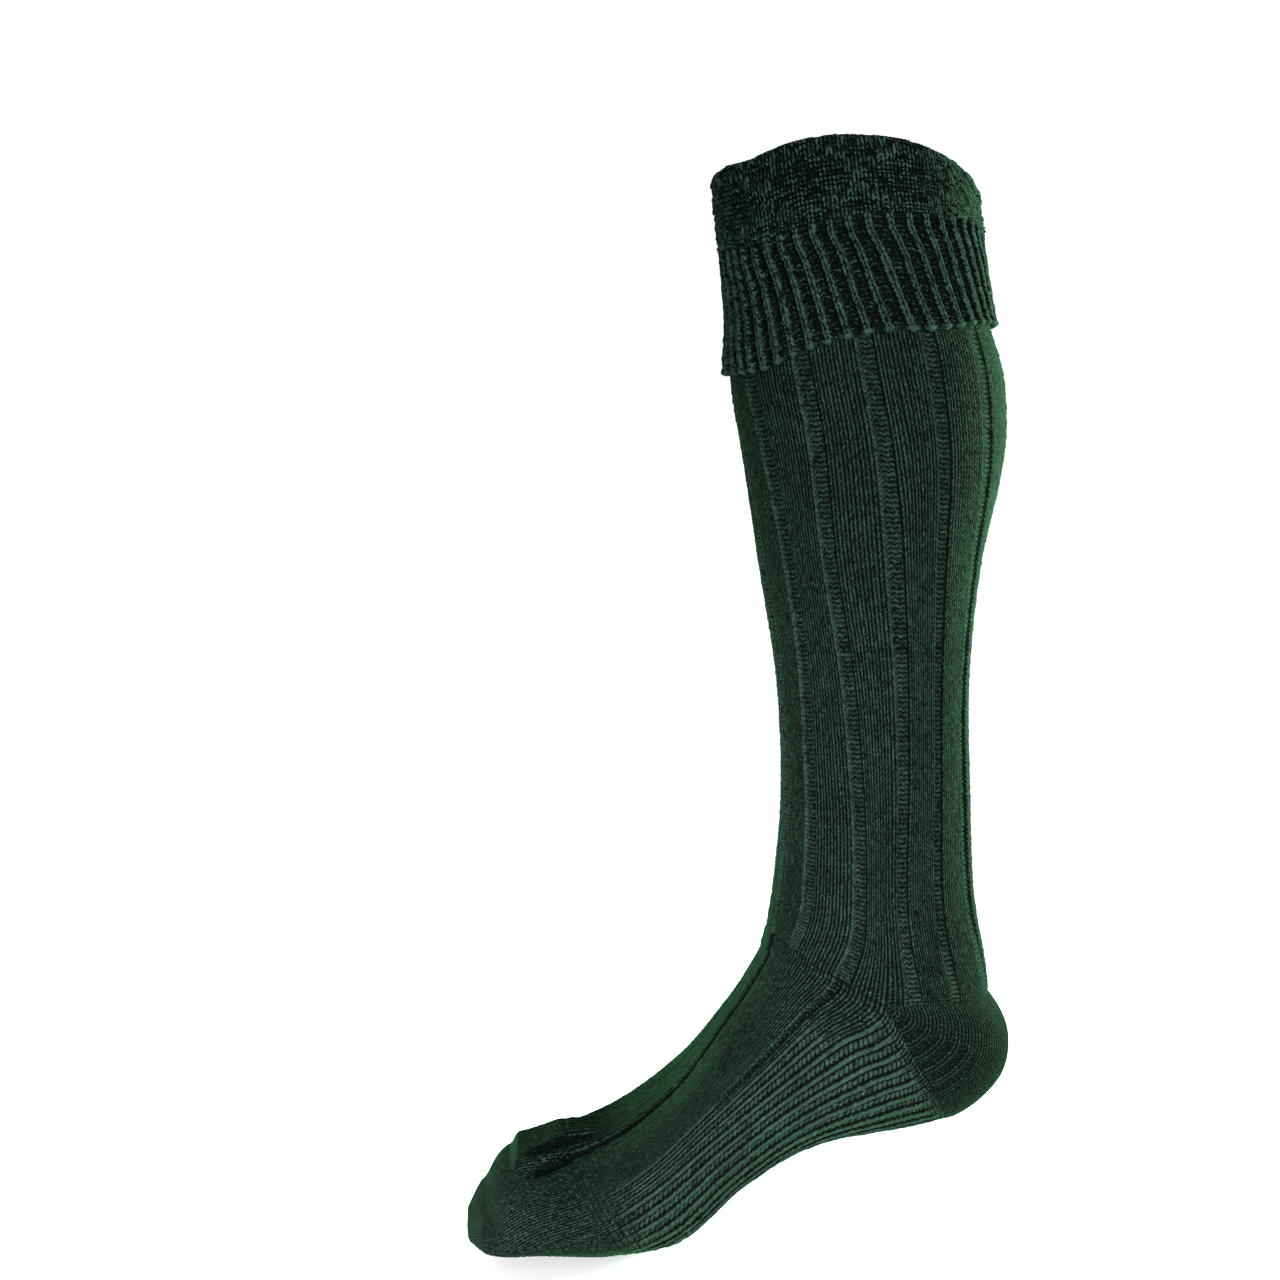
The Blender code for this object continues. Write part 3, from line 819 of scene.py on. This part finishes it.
def foot_part(name, wool):
    """Knitted shell of the foot: panels over the instep and fine ribs round the sole."""
    course = close_ends(np.arange(FOOT_COURSES * STITCH_ROWS + 1) / STITCH_ROWS, END_GAP)
    at = 1 + TOE_SHARE * course / FOOT_COURSES
    is_sole = widened(SIDES >= SIDE_WALE)
    ending = 1 - smooth(FOOT_COURSES - SOLE_END, FOOT_COURSES, course)[:, None]
    plain = foot_stitches(course, ending, is_sole)
    is_rib = widened((np.arange(WALES) - SIDE_WALE) % 2 == 0)
    ribs = rib_stitches(course, np.tile(COLUMN_X, WALES), is_rib)
    grown = rib_growth(course, ending, is_sole)
    odd = odd_stitches(FOOT_COURSES, course, COLUMN_X)
    height, shift, painted_shade_and_mottle = (flat * (1 - grown) + rib * grown for flat, rib in zip(plain, ribs))
    place = column_wales(COLUMN_X)
    near = np.minimum(place, WALES - place)
    groove = bell(near, *GROOVE_PLACE) + bell(near, *CREASE_PLACE) * (1 - ending)
    edge = bell(near, *GROOVE_EDGE_PLACE) * ending
    height = height + UNEVEN * odd - GROOVE_DEPTH * groove + GROOVE_EDGE * edge
    height = height - SEAM_DROP * np.exp((course - FOOT_COURSES) / SEAM_COURSES)[:, None]
    # Painted shade in the groove and crease beside the loose panel, with chance tone per stitch
    painted_shade_and_mottle = painted_shade_and_mottle * (1 + STITCH_TONE * odd) * np.clip(1 - groove, 0, 1)
    narrow = (narrowed(place, SIDE_WALE, SOLE_RIB_WIDTH) - place) * (near > SIDE_RIBS)
    place = place + narrow * grown + RANDOM.normal(0, WALE_JITTER, height.shape)
    along = np.clip(at[:, None] + shift * TOE_SHARE / FOOT_COURSES, 1, 1 + TOE_SHARE)
    angle = foot_angles(at, place)
    outer = raised(along, along + 1, angle, height + instep_rise(along - 1, angle))
    back = np.linspace(1 + TOE_SHARE, 1, INNER_ROWS)
    bent = foot_angles(back, column_wales(COLUMN_X))
    back = back[:, None]
    inner = raised(back, back + 1, bent, instep_rise(back - 1, bent) - WALL)
    return ring_piece(name, outer, inner, place, course, painted_shade_and_mottle, "foot_tube", wool)


def heel_angles(share, place, side):
    """Angle of each point of the heel. The wales spread and close again so that they bend at the mitre."""
    half = HEEL_WALES // 2
    even = HEEL_SIDE_WALES / half
    knee = np.interp(share, (0, MITRE_SHARE, 1), (even, MITRE_KNEE, even))[:, None]
    near = side / HEEL_SIDE_WALES * knee
    far = knee + (1 - knee) * (side - HEEL_SIDE_WALES) / (half - HEEL_SIDE_WALES)
    run = np.where(side < HEEL_SIDE_WALES, near, far)
    run = np.where(place > half, 2 - run, run) / 2
    lines = even_angles(np.ones_like(share), 1 + share, math.pi / 2, 3 * math.pi / 2, ANGLE_STEPS)
    fine = np.linspace(0, 1, ANGLE_STEPS)
    return np.array([np.interp(runs, fine, row) for runs, row in zip(run, lines)])


def heel_courses(share, bare, flank):
    """Course at each point: even round the cup, and on the flanks level with the leg's or the sole's."""
    down = -(bare[..., 2] + LEG_LENGTH)
    slope = math.radians(HEEL_RIB_SLOPE)
    along = (bare[..., 1] - ANKLE_SHIFT) * math.cos(slope) - down * math.sin(slope)
    even = share[:, None] * HEEL_COURSES + 0 * down
    lower = HEEL_COURSES - (along - along[-1:]) / COURSE_PITCH
    level = np.where(share[:, None] > MITRE_SHARE, lower, down / COURSE_PITCH)
    return even + flank * (level - even)


def heel_part(name, wool):
    """Knitted shell of the heel: plain above the mitre and round the cup, ribbed towards the sole."""
    share = close_ends(np.linspace(0, 1, HEEL_COURSES * HEEL_COURSE_POINTS + 1), END_GAP / HEEL_COURSES)
    place = np.linspace(0, HEEL_WALES, HEEL_WALES * HEEL_WALE_POINTS + 1)
    side = np.minimum(place, HEEL_WALES - place)
    angle = heel_angles(share, place, side)
    back_at = np.broadcast_to(1 + share[:, None], angle.shape)
    ones = np.ones_like(angle)
    flank = 1 - smooth(*HEEL_FLANK, side - HEEL_SIDE_WALES)[None]
    course = heel_courses(share, skin(ones, back_at, angle), flank)
    x = (place % 1) - 0.5
    ribbed = (share[:, None] > MITRE_SHARE) & (side < HEEL_SIDE_WALES)[None]
    purl = ribbed & (np.floor(side).astype(int) % 2 == 0)[None]
    round_top = np.sin(math.pi * (x + 0.5))[None] ** HEEL_RIB_POWER
    rise = np.where(purl, -SOLE_RIB_SINK, SOLE_RIB_RISE) * round_top
    grown = smooth(MITRE_SHARE, MITRE_SHARE + HEEL_RIB_START, share)[:, None] * flank
    base = PANEL_RISE / 2 + rise * grown * ribbed
    height = base + slanted_relief(x, course, np.where(purl, HEEL_PURL_GAP, 1))
    outer = raised(ones, back_at, angle, height)
    # Painted shade: the heel darker at its top and more so round the cup, purl wales darker, the inside in
    # shade
    below = smooth(0, HEEL_CUP_SHADE_SHARE, share)[:, None]
    shade_dim = (1 - HEEL_SHADE) * (1 - below) + HEEL_CUP_SHADE * below
    painted_shade_and_mottle = shade_share(height, base) * np.where(purl, PURL_SHADE, 1.0) * shade_dim
    inner = raised(ones, back_at, angle, -WALL)[::HEEL_COURSE_POINTS]
    rows, columns = outer.shape[:2]
    points = np.concatenate((outer.reshape(-1, 3), inner.reshape(-1, 3)))
    painted_shade_and_mottle = np.concatenate((painted_shade_and_mottle.ravel(), np.full(inner.shape[0] * columns, INNER_SHADE)))
    knit = np.stack((np.broadcast_to(place, course.shape), course), -1)
    faces, uvs = sheet_faces(rows, columns, len(inner), knit)
    return make_piece(name, points, faces, uvs, painted_shade_and_mottle, "heel_pocket", wool)


def sheet_faces(rows, columns, inner_rows, knit):
    """Faces of a curved sheet whose inner side has fewer rows: both sides and the four edges."""
    step = (rows - 1) // (inner_rows - 1)
    outside, places = grid_faces(rows, columns, False, False)
    outside_uv = grid_uvs(places, 2 * rows, columns, knit, 0)
    inside, inner_places = grid_faces(inner_rows, columns, False, False)
    inner_uv = grid_uvs(inner_places, 2 * inner_rows, columns, knit[::step], 0)
    inner_uv[..., 0, 1] += INNER_BAKE
    first = rows * columns
    inside = (inside + first)[:, ::-1]
    inner_uv = inner_uv[:, ::-1]
    j = np.arange(columns - 1)
    bottom = (rows - 1) * columns
    inner_bottom = first + (inner_rows - 1) * columns
    top_edge = np.stack((j + 1, first + j + 1, first + j, j), 1)
    low_edge = np.stack((bottom + j, inner_bottom + j, inner_bottom + j + 1, bottom + j + 1), 1)
    k = np.arange(inner_rows - 1)[:, None]
    run = np.arange(step + 1)[None]
    edges = [top_edge, low_edge]
    for column in (0, columns - 1):
        outer_run = (k * step + run) * columns + column
        inner_run = np.concatenate((first + (k + 1) * columns + column, first + k * columns + column), 1)
        loop = np.concatenate((outer_run, inner_run), 1)
        edges.append(loop if column else loop[:, ::-1])
    faces = [outside, inside] + edges
    return faces, [outside_uv, inner_uv] + [blank_uvs(edge) for edge in edges]


def toe_wales(angle, bare):
    """Place of each point across the toe in wales, counted from the middle of its top or of its sole."""
    steps = np.linalg.norm(np.roll(bare, -1, 1) - bare, axis=-1)
    travel = np.cumsum(steps, 1) - steps
    total = steps.sum(1, keepdims=True)
    from_top = np.where(travel > total / 2, travel - total, travel)
    middle = np.array([np.interp(math.pi, row, way) for row, way in zip(angle, travel)])[:, None]
    return np.where(np.cos(angle) >= 0, from_top, travel - middle) / TOE_WALE


def toe_grooves(at, turn):
    """Share of the depth of the groove and the crease that run on from the foot."""
    line = groove_turn(at)
    groove = bell(turn, line, TOE_GROOVE_WIDTH) * (1 - smooth(TOE_GROOVE_END, TOE_LIP_END, at))
    crease = bell(turn, line * TOE_CREASE_PLACE, TOE_CREASE_WIDTH)
    return groove + crease * (1 - smooth(TOE_CREASE_END, TOE_LIP_END, at))


def toe_form(at, angle):
    """How far the toe stands above the solid: the loose panel's end, less the dent on top and below."""
    turn = turn_of(angle)
    top = bell(at, *TOE_DENT_PLACE) * (1 - smooth(*TOE_DENT_TURNS, turn))
    below = bell(at, *TOE_TUCK_PLACE) * smooth(*TOE_TUCK_TURNS, turn)
    return -TOE_DENT * top - TOE_TUCK * below + instep_rise(at, angle)


def toe_part(name, wool):
    """Knitted shell of the toe, closed at its tip, with plain wales that run on from the foot."""
    share = np.linspace(TOE_SHARE, 1, TOE_ROWS + 1)
    share[1] = TOE_SHARE + END_GAP * COURSE_PITCH / FOOT_LENGTH
    angle = even_angles(1 + share, 2 + share, 0, 2 * math.pi, TOE_COLUMNS + 1)[:, :-1]
    at = np.broadcast_to(share[:, None], angle.shape)
    cross = toe_wales(angle, skin(1 + at, 2 + at, angle))
    course = (share[:, None] - TOE_SHARE) * FOOT_LENGTH / COURSE_PITCH + 0 * angle
    base = PANEL_RISE / 2
    height = base + slanted_relief((cross % 1) - 0.5, course, 1)
    groove = toe_grooves(at, turn_of(angle))
    # Painted shade in the groove and crease that run on from the foot
    painted_shade_and_mottle = shade_share(height, base) * np.clip(1 - groove, 0, 1)
    height = height - GROOVE_DEPTH * groove - SEAM_DROP * np.exp((TOE_SHARE - at) / TOE_SEAM)
    form = toe_form(at, angle)
    outer = raised(1 + at, 2 + at, angle, height + form)
    inner = raised(1 + at, 2 + at, angle, form - WALL)[::TOE_INNER_STEP][::-1]
    forward = np.array((0, *arm(180 + FOOT_DROP, 1)))
    inner[0] -= forward * WALL
    tips = np.array((outer[-1].mean(0) + forward * TOE_BULGE, outer[-1].mean(0) - forward * WALL))
    points = np.concatenate((inner, outer))
    rows, columns = points.shape[:2]
    knit = np.stack((cross, course), -1)
    knit = np.concatenate((knit[::TOE_INNER_STEP][::-1], knit))
    corners, places = grid_faces(rows, columns, False, True)
    faces = [corners, *tip_faces(rows, columns)]
    uvs = [grid_uvs(places, rows, columns, knit, 0), blank_uvs(faces[1]), blank_uvs(faces[2])]
    # The inside and the inner tip painted in shade
    painted_shade_and_mottle = np.concatenate((np.full(inner.shape[:2], INNER_SHADE).ravel(), painted_shade_and_mottle.ravel(), (1, INNER_SHADE)))
    points = np.concatenate((points.reshape(-1, 3), tips))
    return make_piece(name, points, faces, uvs, painted_shade_and_mottle, "toe_cap", wool)


def tip_faces(rows, columns):
    """Triangles that close the last and the first ring of a grid, each to a point added after the grid."""
    j = np.arange(columns)
    last = (rows - 1) * columns
    tip = np.full(columns, rows * columns)
    beside = (j + 1) % columns
    return np.stack((last + j, tip, last + beside), 1), np.stack((j, beside, tip + 1), 1)


def cuff_points(drop, height, angle):
    """Points a drop below the rim and a height above the leg's surface."""
    at = drop / LEG_LENGTH
    return raised(at, at, angle, height)


def band_pattern(course, wale):
    """True where the band is plain in a low diamond pattern on a purl ground."""
    row = (course[:, None].astype(int) % DIAMOND) - DIAMOND // 2
    column = (wale[None] % DIAMOND) - DIAMOND // 2
    ring = np.abs(row) + np.abs(column)
    return (ring >= DIAMOND_LINE[0]) & (ring <= DIAMOND_LINE[1])


def band_part(name, wool):
    """Folded top and patterned band of the cuff."""
    under = PANEL_RISE + CUFF_CLEARANCE
    over = under + CUFF_WALL
    courses = FOLD_COURSES + BAND_COURSES
    columns = column_wales(COLUMN_X)
    course = np.arange(courses * BAND_STITCH_ROWS + 1) / BAND_STITCH_ROWS
    plain = band_pattern(course, np.arange(WALES))
    base = np.where(plain, BAND_RELIEF, 0) * smooth(FOLD_COURSES, FOLD_COURSES + 1, course)[:, None]
    height, shift = stitch_relief(plain, base, course, COLUMN_X, end_fade(course, courses), BAND_GAP)
    odd = odd_stitches(courses, course, COLUMN_X)
    # Painted shade in the band's grooves, with chance tone per stitch and grain
    painted_shade_and_mottle = shade_share(height, widened(base)) * (1 + BAND_TONE * odd)
    painted_shade_and_mottle = painted_shade_and_mottle * RANDOM.normal(1, GRAIN, painted_shade_and_mottle.shape)
    knob = BAND_KNOB * bell(course - courses, *BAND_KNOB_PLACE)[:, None]
    swing = 1 - BAND_KNOB_SWING + BAND_KNOB_SWING * np.cos(2 * math.pi * columns)
    height = height + BAND_UNEVEN * odd + knob * swing
    place = columns + RANDOM.normal(0, BAND_JITTER, height.shape)
    angle = knitted(wale_angle(place), 0.0)
    moved = course[:, None] + shift
    turn = np.clip(moved / FOLD_COURSES, 0, 1) * math.pi
    fold_drop = FOLD * (1 - np.sin(turn))
    fold_height = (over - WALL) / 2 - (over + WALL) / 2 * np.cos(turn)
    share = np.clip((moved - FOLD_COURSES) / BAND_COURSES, 0, 1)
    drop = fold_drop + (CUFF_DROP * turned(angle)[..., 2] - FOLD) * share
    outer = cuff_points(drop, fold_height + height, angle)
    straight = knitted(wale_angle(columns), 0.0)
    back = np.linspace(1, 0, INNER_ROWS // 2)[:, None]
    low = FOLD + (CUFF_DROP * turned(straight)[..., 2] - FOLD) * back
    inner = cuff_points(low, np.full_like(low, under), straight)
    return ring_piece(name, outer, inner, place, course, painted_shade_and_mottle, "cuff_band", wool)


def cuff_span(angle):
    """Drops of the cuff's upper end and how far it is from there to the lower end."""
    shares = turned(angle)
    start = CUFF_DROP * shares[..., 2]
    return start, CUFF_DROP * shares[..., 3] - start


def cuff_part(name, wool):
    """Ribbed skirt of the cuff, with its knobbly bound edge."""
    under = PANEL_RISE + CUFF_CLEARANCE
    level = CUFF_WALL - CUFF_STEP
    columns = column_wales(CUFF_COLUMN_X)
    course = np.arange(CUFF_COURSES * STITCH_ROWS + 1) / STITCH_ROWS
    purl = np.broadcast_to(np.arange(WALES) % 2 == 0, (len(course), WALES))
    base = level + np.where(purl, -CUFF_VALLEY, CUFF_RIB_RISE)
    height, shift = stitch_relief(~purl, base, course, CUFF_COLUMN_X, end_fade(course, CUFF_COURSES))
    base, purl = (np.repeat(part, len(CUFF_COLUMN_X), 1) for part in (base, purl))
    odd = odd_stitches(CUFF_COURSES, course, CUFF_COLUMN_X)
    # Painted light on the ribs, painted shade in the grooves and valleys, with chance tone and grain
    painted_shade_and_mottle = shade_share(height, base) * np.where(purl, CUFF_PURL_SHADE, CUFF_RIB_LIGHT)
    painted_shade_and_mottle = painted_shade_and_mottle * (1 + STITCH_TONE * odd) * RANDOM.normal(1, GRAIN, painted_shade_and_mottle.shape)
    height = height + CUFF_UNEVEN * odd
    place = narrowed(columns + RANDOM.normal(0, CUFF_JITTER, height.shape), 1, CUFF_RIB_WIDTH)
    share = np.clip((course[:, None] + shift) / CUFF_COURSES, 0, 1)
    lean = CUFF_SLANT * (share - 1) - CUFF_KINK * bell(share, CUFF_KINK_SHARE, CUFF_KINK_SHARE)
    angle = wale_angle(place) + np.radians(lean)
    start, length = cuff_span(angle)
    to_end = length * (1 - share)
    bind = smooth(0, 1, 1 - to_end / CUFF_BIND)
    tooth = np.cos(math.pi * (columns - 1.5))
    tooth = tooth + RANDOM.normal(0, CUFF_TOOTH_JITTER, tooth.shape)
    drop = start + length * share + CUFF_TOOTH * tooth * bind
    swing = 1 - CUFF_TOOTH_SHARE + CUFF_TOOTH_SHARE * tooth
    bound = level + CUFF_RIB_RISE * swing + CUFF_KNOB * bind
    height = height + (bound - height) * bind
    height = height * np.sqrt(CUFF_ROUND_REST - np.clip(1 - to_end / CUFF_ROUND, 0, 1) ** 2)
    # Painted shade along the bound edge: lighter on the teeth, darker between them
    painted_shade_and_mottle = painted_shade_and_mottle * (1 - bind) + bind * np.clip(CUFF_BIND_SHADE + CUFF_TOOTH_SHADE * tooth, 0, 1.2)
    outer = cuff_points(drop, under + CUFF_FLARE * share**2 + height, angle)
    back = np.linspace(1, 0, INNER_ROWS)[:, None]
    bent = wale_angle(columns) + np.radians(CUFF_SLANT * (back - 1))
    start, length = cuff_span(bent)
    low = start + length * back
    inner = cuff_points(low, under + CUFF_FLARE * back**2 + 0 * low, bent)
    return ring_piece(name, outer, inner, place, course, painted_shade_and_mottle, "cuff_rib", wool)


# Wool


def feed(tree, value, socket):
    """Link an output to a socket, or set the socket to a number or a colour."""
    if isinstance(value, (float, tuple)):
        socket.default_value = value
    else:
        tree.links.new(value, socket)


def add_node(tree, kind, **inputs):
    """New node with its named inputs fed."""
    made = tree.nodes.new(kind)
    for key, value in inputs.items():
        feed(tree, value, made.inputs[key])
    return made


def add_math(tree, operation, *inputs):
    """New math node with its inputs fed in order."""
    made = tree.nodes.new("ShaderNodeMath")
    made.operation = operation
    for socket, value in zip(made.inputs, inputs):
        feed(tree, value, socket)
    return made


def add_mix(tree, blend, factor, first, second):
    """Output of a new node that mixes two colours."""
    made = tree.nodes.new("ShaderNodeMix")
    made.data_type = "RGBA"
    made.blend_type = blend
    for key, value in (("Factor", factor), ("A", first), ("B", second)):
        feed(tree, value, made.inputs[key])
    return made.outputs["Result"]


def wool_colour(tree, painted_shade_and_mottle, fibres, specks, clouds, shades):
    """Colour output: painted shade in the grooves, lighter stitch tops with flecks, and large faint clouds.
    """
    shade_colour, light, fleck = ((*shade, 1.0) for shade in shades)
    shade_ramp = tree.nodes.new("ShaderNodeValToRGB")
    low, high = shade_ramp.color_ramp.elements
    low.position = TONE_START
    low.color = shade_colour
    high.color = light
    shifted = add_math(tree, "ADD", painted_shade_and_mottle, TONE_SHIFT)
    blurred = add_math(tree, "MULTIPLY_ADD", fibres, FIBRE_TONE, shifted.outputs[0])
    tree.links.new(blurred.outputs[0], shade_ramp.inputs["Fac"])
    flecks = add_node(tree, "ShaderNodeMapRange", Value=specks, **FLECK_RANGE)
    tops = add_math(tree, "MULTIPLY", flecks.outputs["Result"], painted_shade_and_mottle)
    tops.use_clamp = True
    heather_and_shade = add_mix(tree, "MIX", tops.outputs[0], shade_ramp.outputs["Color"], fleck)
    cloudy = add_node(tree, "ShaderNodeMapRange", Value=clouds, **CLOUD_RANGE)
    return add_mix(tree, "MULTIPLY", 1.0, heather_and_shade, cloudy.outputs["Result"])


def wool_material(name, shades):
    """Dark heathered wool with fine fibres and a soft sheen, from its painted groove shade, top and fleck
    colours.
    """
    wool = bpy.data.materials.new(name)
    wool.use_nodes = True
    tree = wool.node_tree
    shader = tree.nodes["Principled BSDF"]
    for key, value in SHADER.items():
        shader.inputs[key].default_value = value
    # Painted shade of the grooves, read from the points
    painted_shade_and_mottle = tree.nodes.new("ShaderNodeAttribute")
    painted_shade_and_mottle.attribute_name = "painted_shade_and_mottle"
    knit = tree.nodes.new("ShaderNodeUVMap")
    knit.uv_map = "Knit"
    place = tree.nodes.new("ShaderNodeTexCoord").outputs["Object"]
    stretch = add_node(tree, "ShaderNodeMapping", Vector=knit.outputs["UV"], Scale=FIBRE_STRETCH)
    noises = ((stretch.outputs["Vector"], FIBRES), (place, SPECKS), (place, CLOUDS))
    fibres, specks, clouds = (add_node(tree, "ShaderNodeTexNoise", Vector=vector, **noise).outputs["Fac"]
                              for vector, noise in noises)
    colour = wool_colour(tree, painted_shade_and_mottle.outputs["Fac"], fibres, specks, clouds, shades)
    bump = add_node(tree, "ShaderNodeBump", Strength=0.55, Distance=0.0003, Height=fibres)
    fuzz = add_node(tree, "ShaderNodeBump", Strength=0.35, Distance=0.0002, Height=specks,
                    Normal=bump.outputs["Normal"])
    tree.links.new(colour, shader.inputs["Base Color"])
    tree.links.new(fuzz.outputs["Normal"], shader.inputs["Normal"])
    return wool


# Stage


def floor():
    """Wide pale floor just under the foot."""
    pale = bpy.data.materials.new("floor_white")
    pale.use_nodes = True
    shader = pale.node_tree.nodes["Principled BSDF"]
    shader.inputs["Base Color"].default_value = FLOOR_COLOUR
    shader.inputs["Roughness"].default_value = FLOOR_ROUGHNESS
    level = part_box("foot_tube")[0][2] - FLOOR_DROP
    half = FLOOR_SIZE / 2
    corners = [(x, y, level) for x, y in ((-half, -half), (half, -half), (half, half), (-half, half))]
    mesh = bpy.data.meshes.new("floor")
    mesh.from_pydata(corners, [], [(0, 1, 2, 3)])
    mesh.materials.append(pale)
    placed("floor", mesh)


def stand(made, turn, reach, height, middle, aim):
    """Put an object round the upright line at Y `middle`, facing that line at the height `aim`."""
    angle = math.radians(turn)
    made.location = (math.sin(angle) * reach, middle - math.cos(angle) * reach, height)
    made.rotation_euler = (math.pi / 2 + math.atan2(aim - height, reach), 0, angle)


def area_light(name, turn, height, reach, size, power, aim, spread, colour):
    """Soft light that faces a height of the sock."""
    lamp = bpy.data.lights.new(name, "AREA")
    lamp.shape = "RECTANGLE"
    lamp.size, lamp.size_y = size
    lamp.energy = power
    lamp.color = colour
    lamp.spread = math.radians(spread)
    stand(placed(name, lamp), turn, reach, height, 0, aim)


def camera():
    """Camera at the photograph's place, level, with the photograph's framing."""
    made = placed("camera", bpy.data.cameras.new("camera"))
    stand(made, CAMERA_TURN, CAMERA_REACH, CAMERA_HEIGHT, ANKLE_SHIFT, CAMERA_HEIGHT)
    made.data.sensor_width = SENSOR
    made.data.lens = CAMERA_FOCUS * SENSOR / IMAGE_SIZE
    made.data.shift_x = 0.5 - CAMERA_CENTRE[0] / IMAGE_SIZE
    made.data.shift_y = CAMERA_CENTRE[1] / IMAGE_SIZE - 0.5
    bpy.context.scene.camera = made


def world():
    """Even white light from all round."""
    sky = bpy.data.worlds.new("studio")
    sky.use_nodes = True
    back = sky.node_tree.nodes["Background"]
    back.inputs["Color"].default_value = (1, 1, 1, 1)
    back.inputs["Strength"].default_value = WORLD_STRENGTH
    bpy.context.scene.world = sky


bpy.context.scene.view_settings.view_transform = "Standard"
camera()
world()
floor()
for light in LIGHTS:
    area_light(*light)

GREEN = wool_material("green_wool", GREEN_SHADES)
DARK_GREEN = wool_material("dark_green_wool", DARK_SHADES)
leg_part("leg_upper_knit", 0, LEG_COURSES // 2, GREEN)
leg_part("leg_lower_knit", LEG_COURSES // 2, LEG_COURSES, GREEN)
foot_part("foot_knit", GREEN)
heel_part("heel_knit", GREEN)
toe_part("toe_knit", GREEN)
band_part("cuff_band_knit", DARK_GREEN)
cuff_part("cuff_rib_knit", DARK_GREEN)
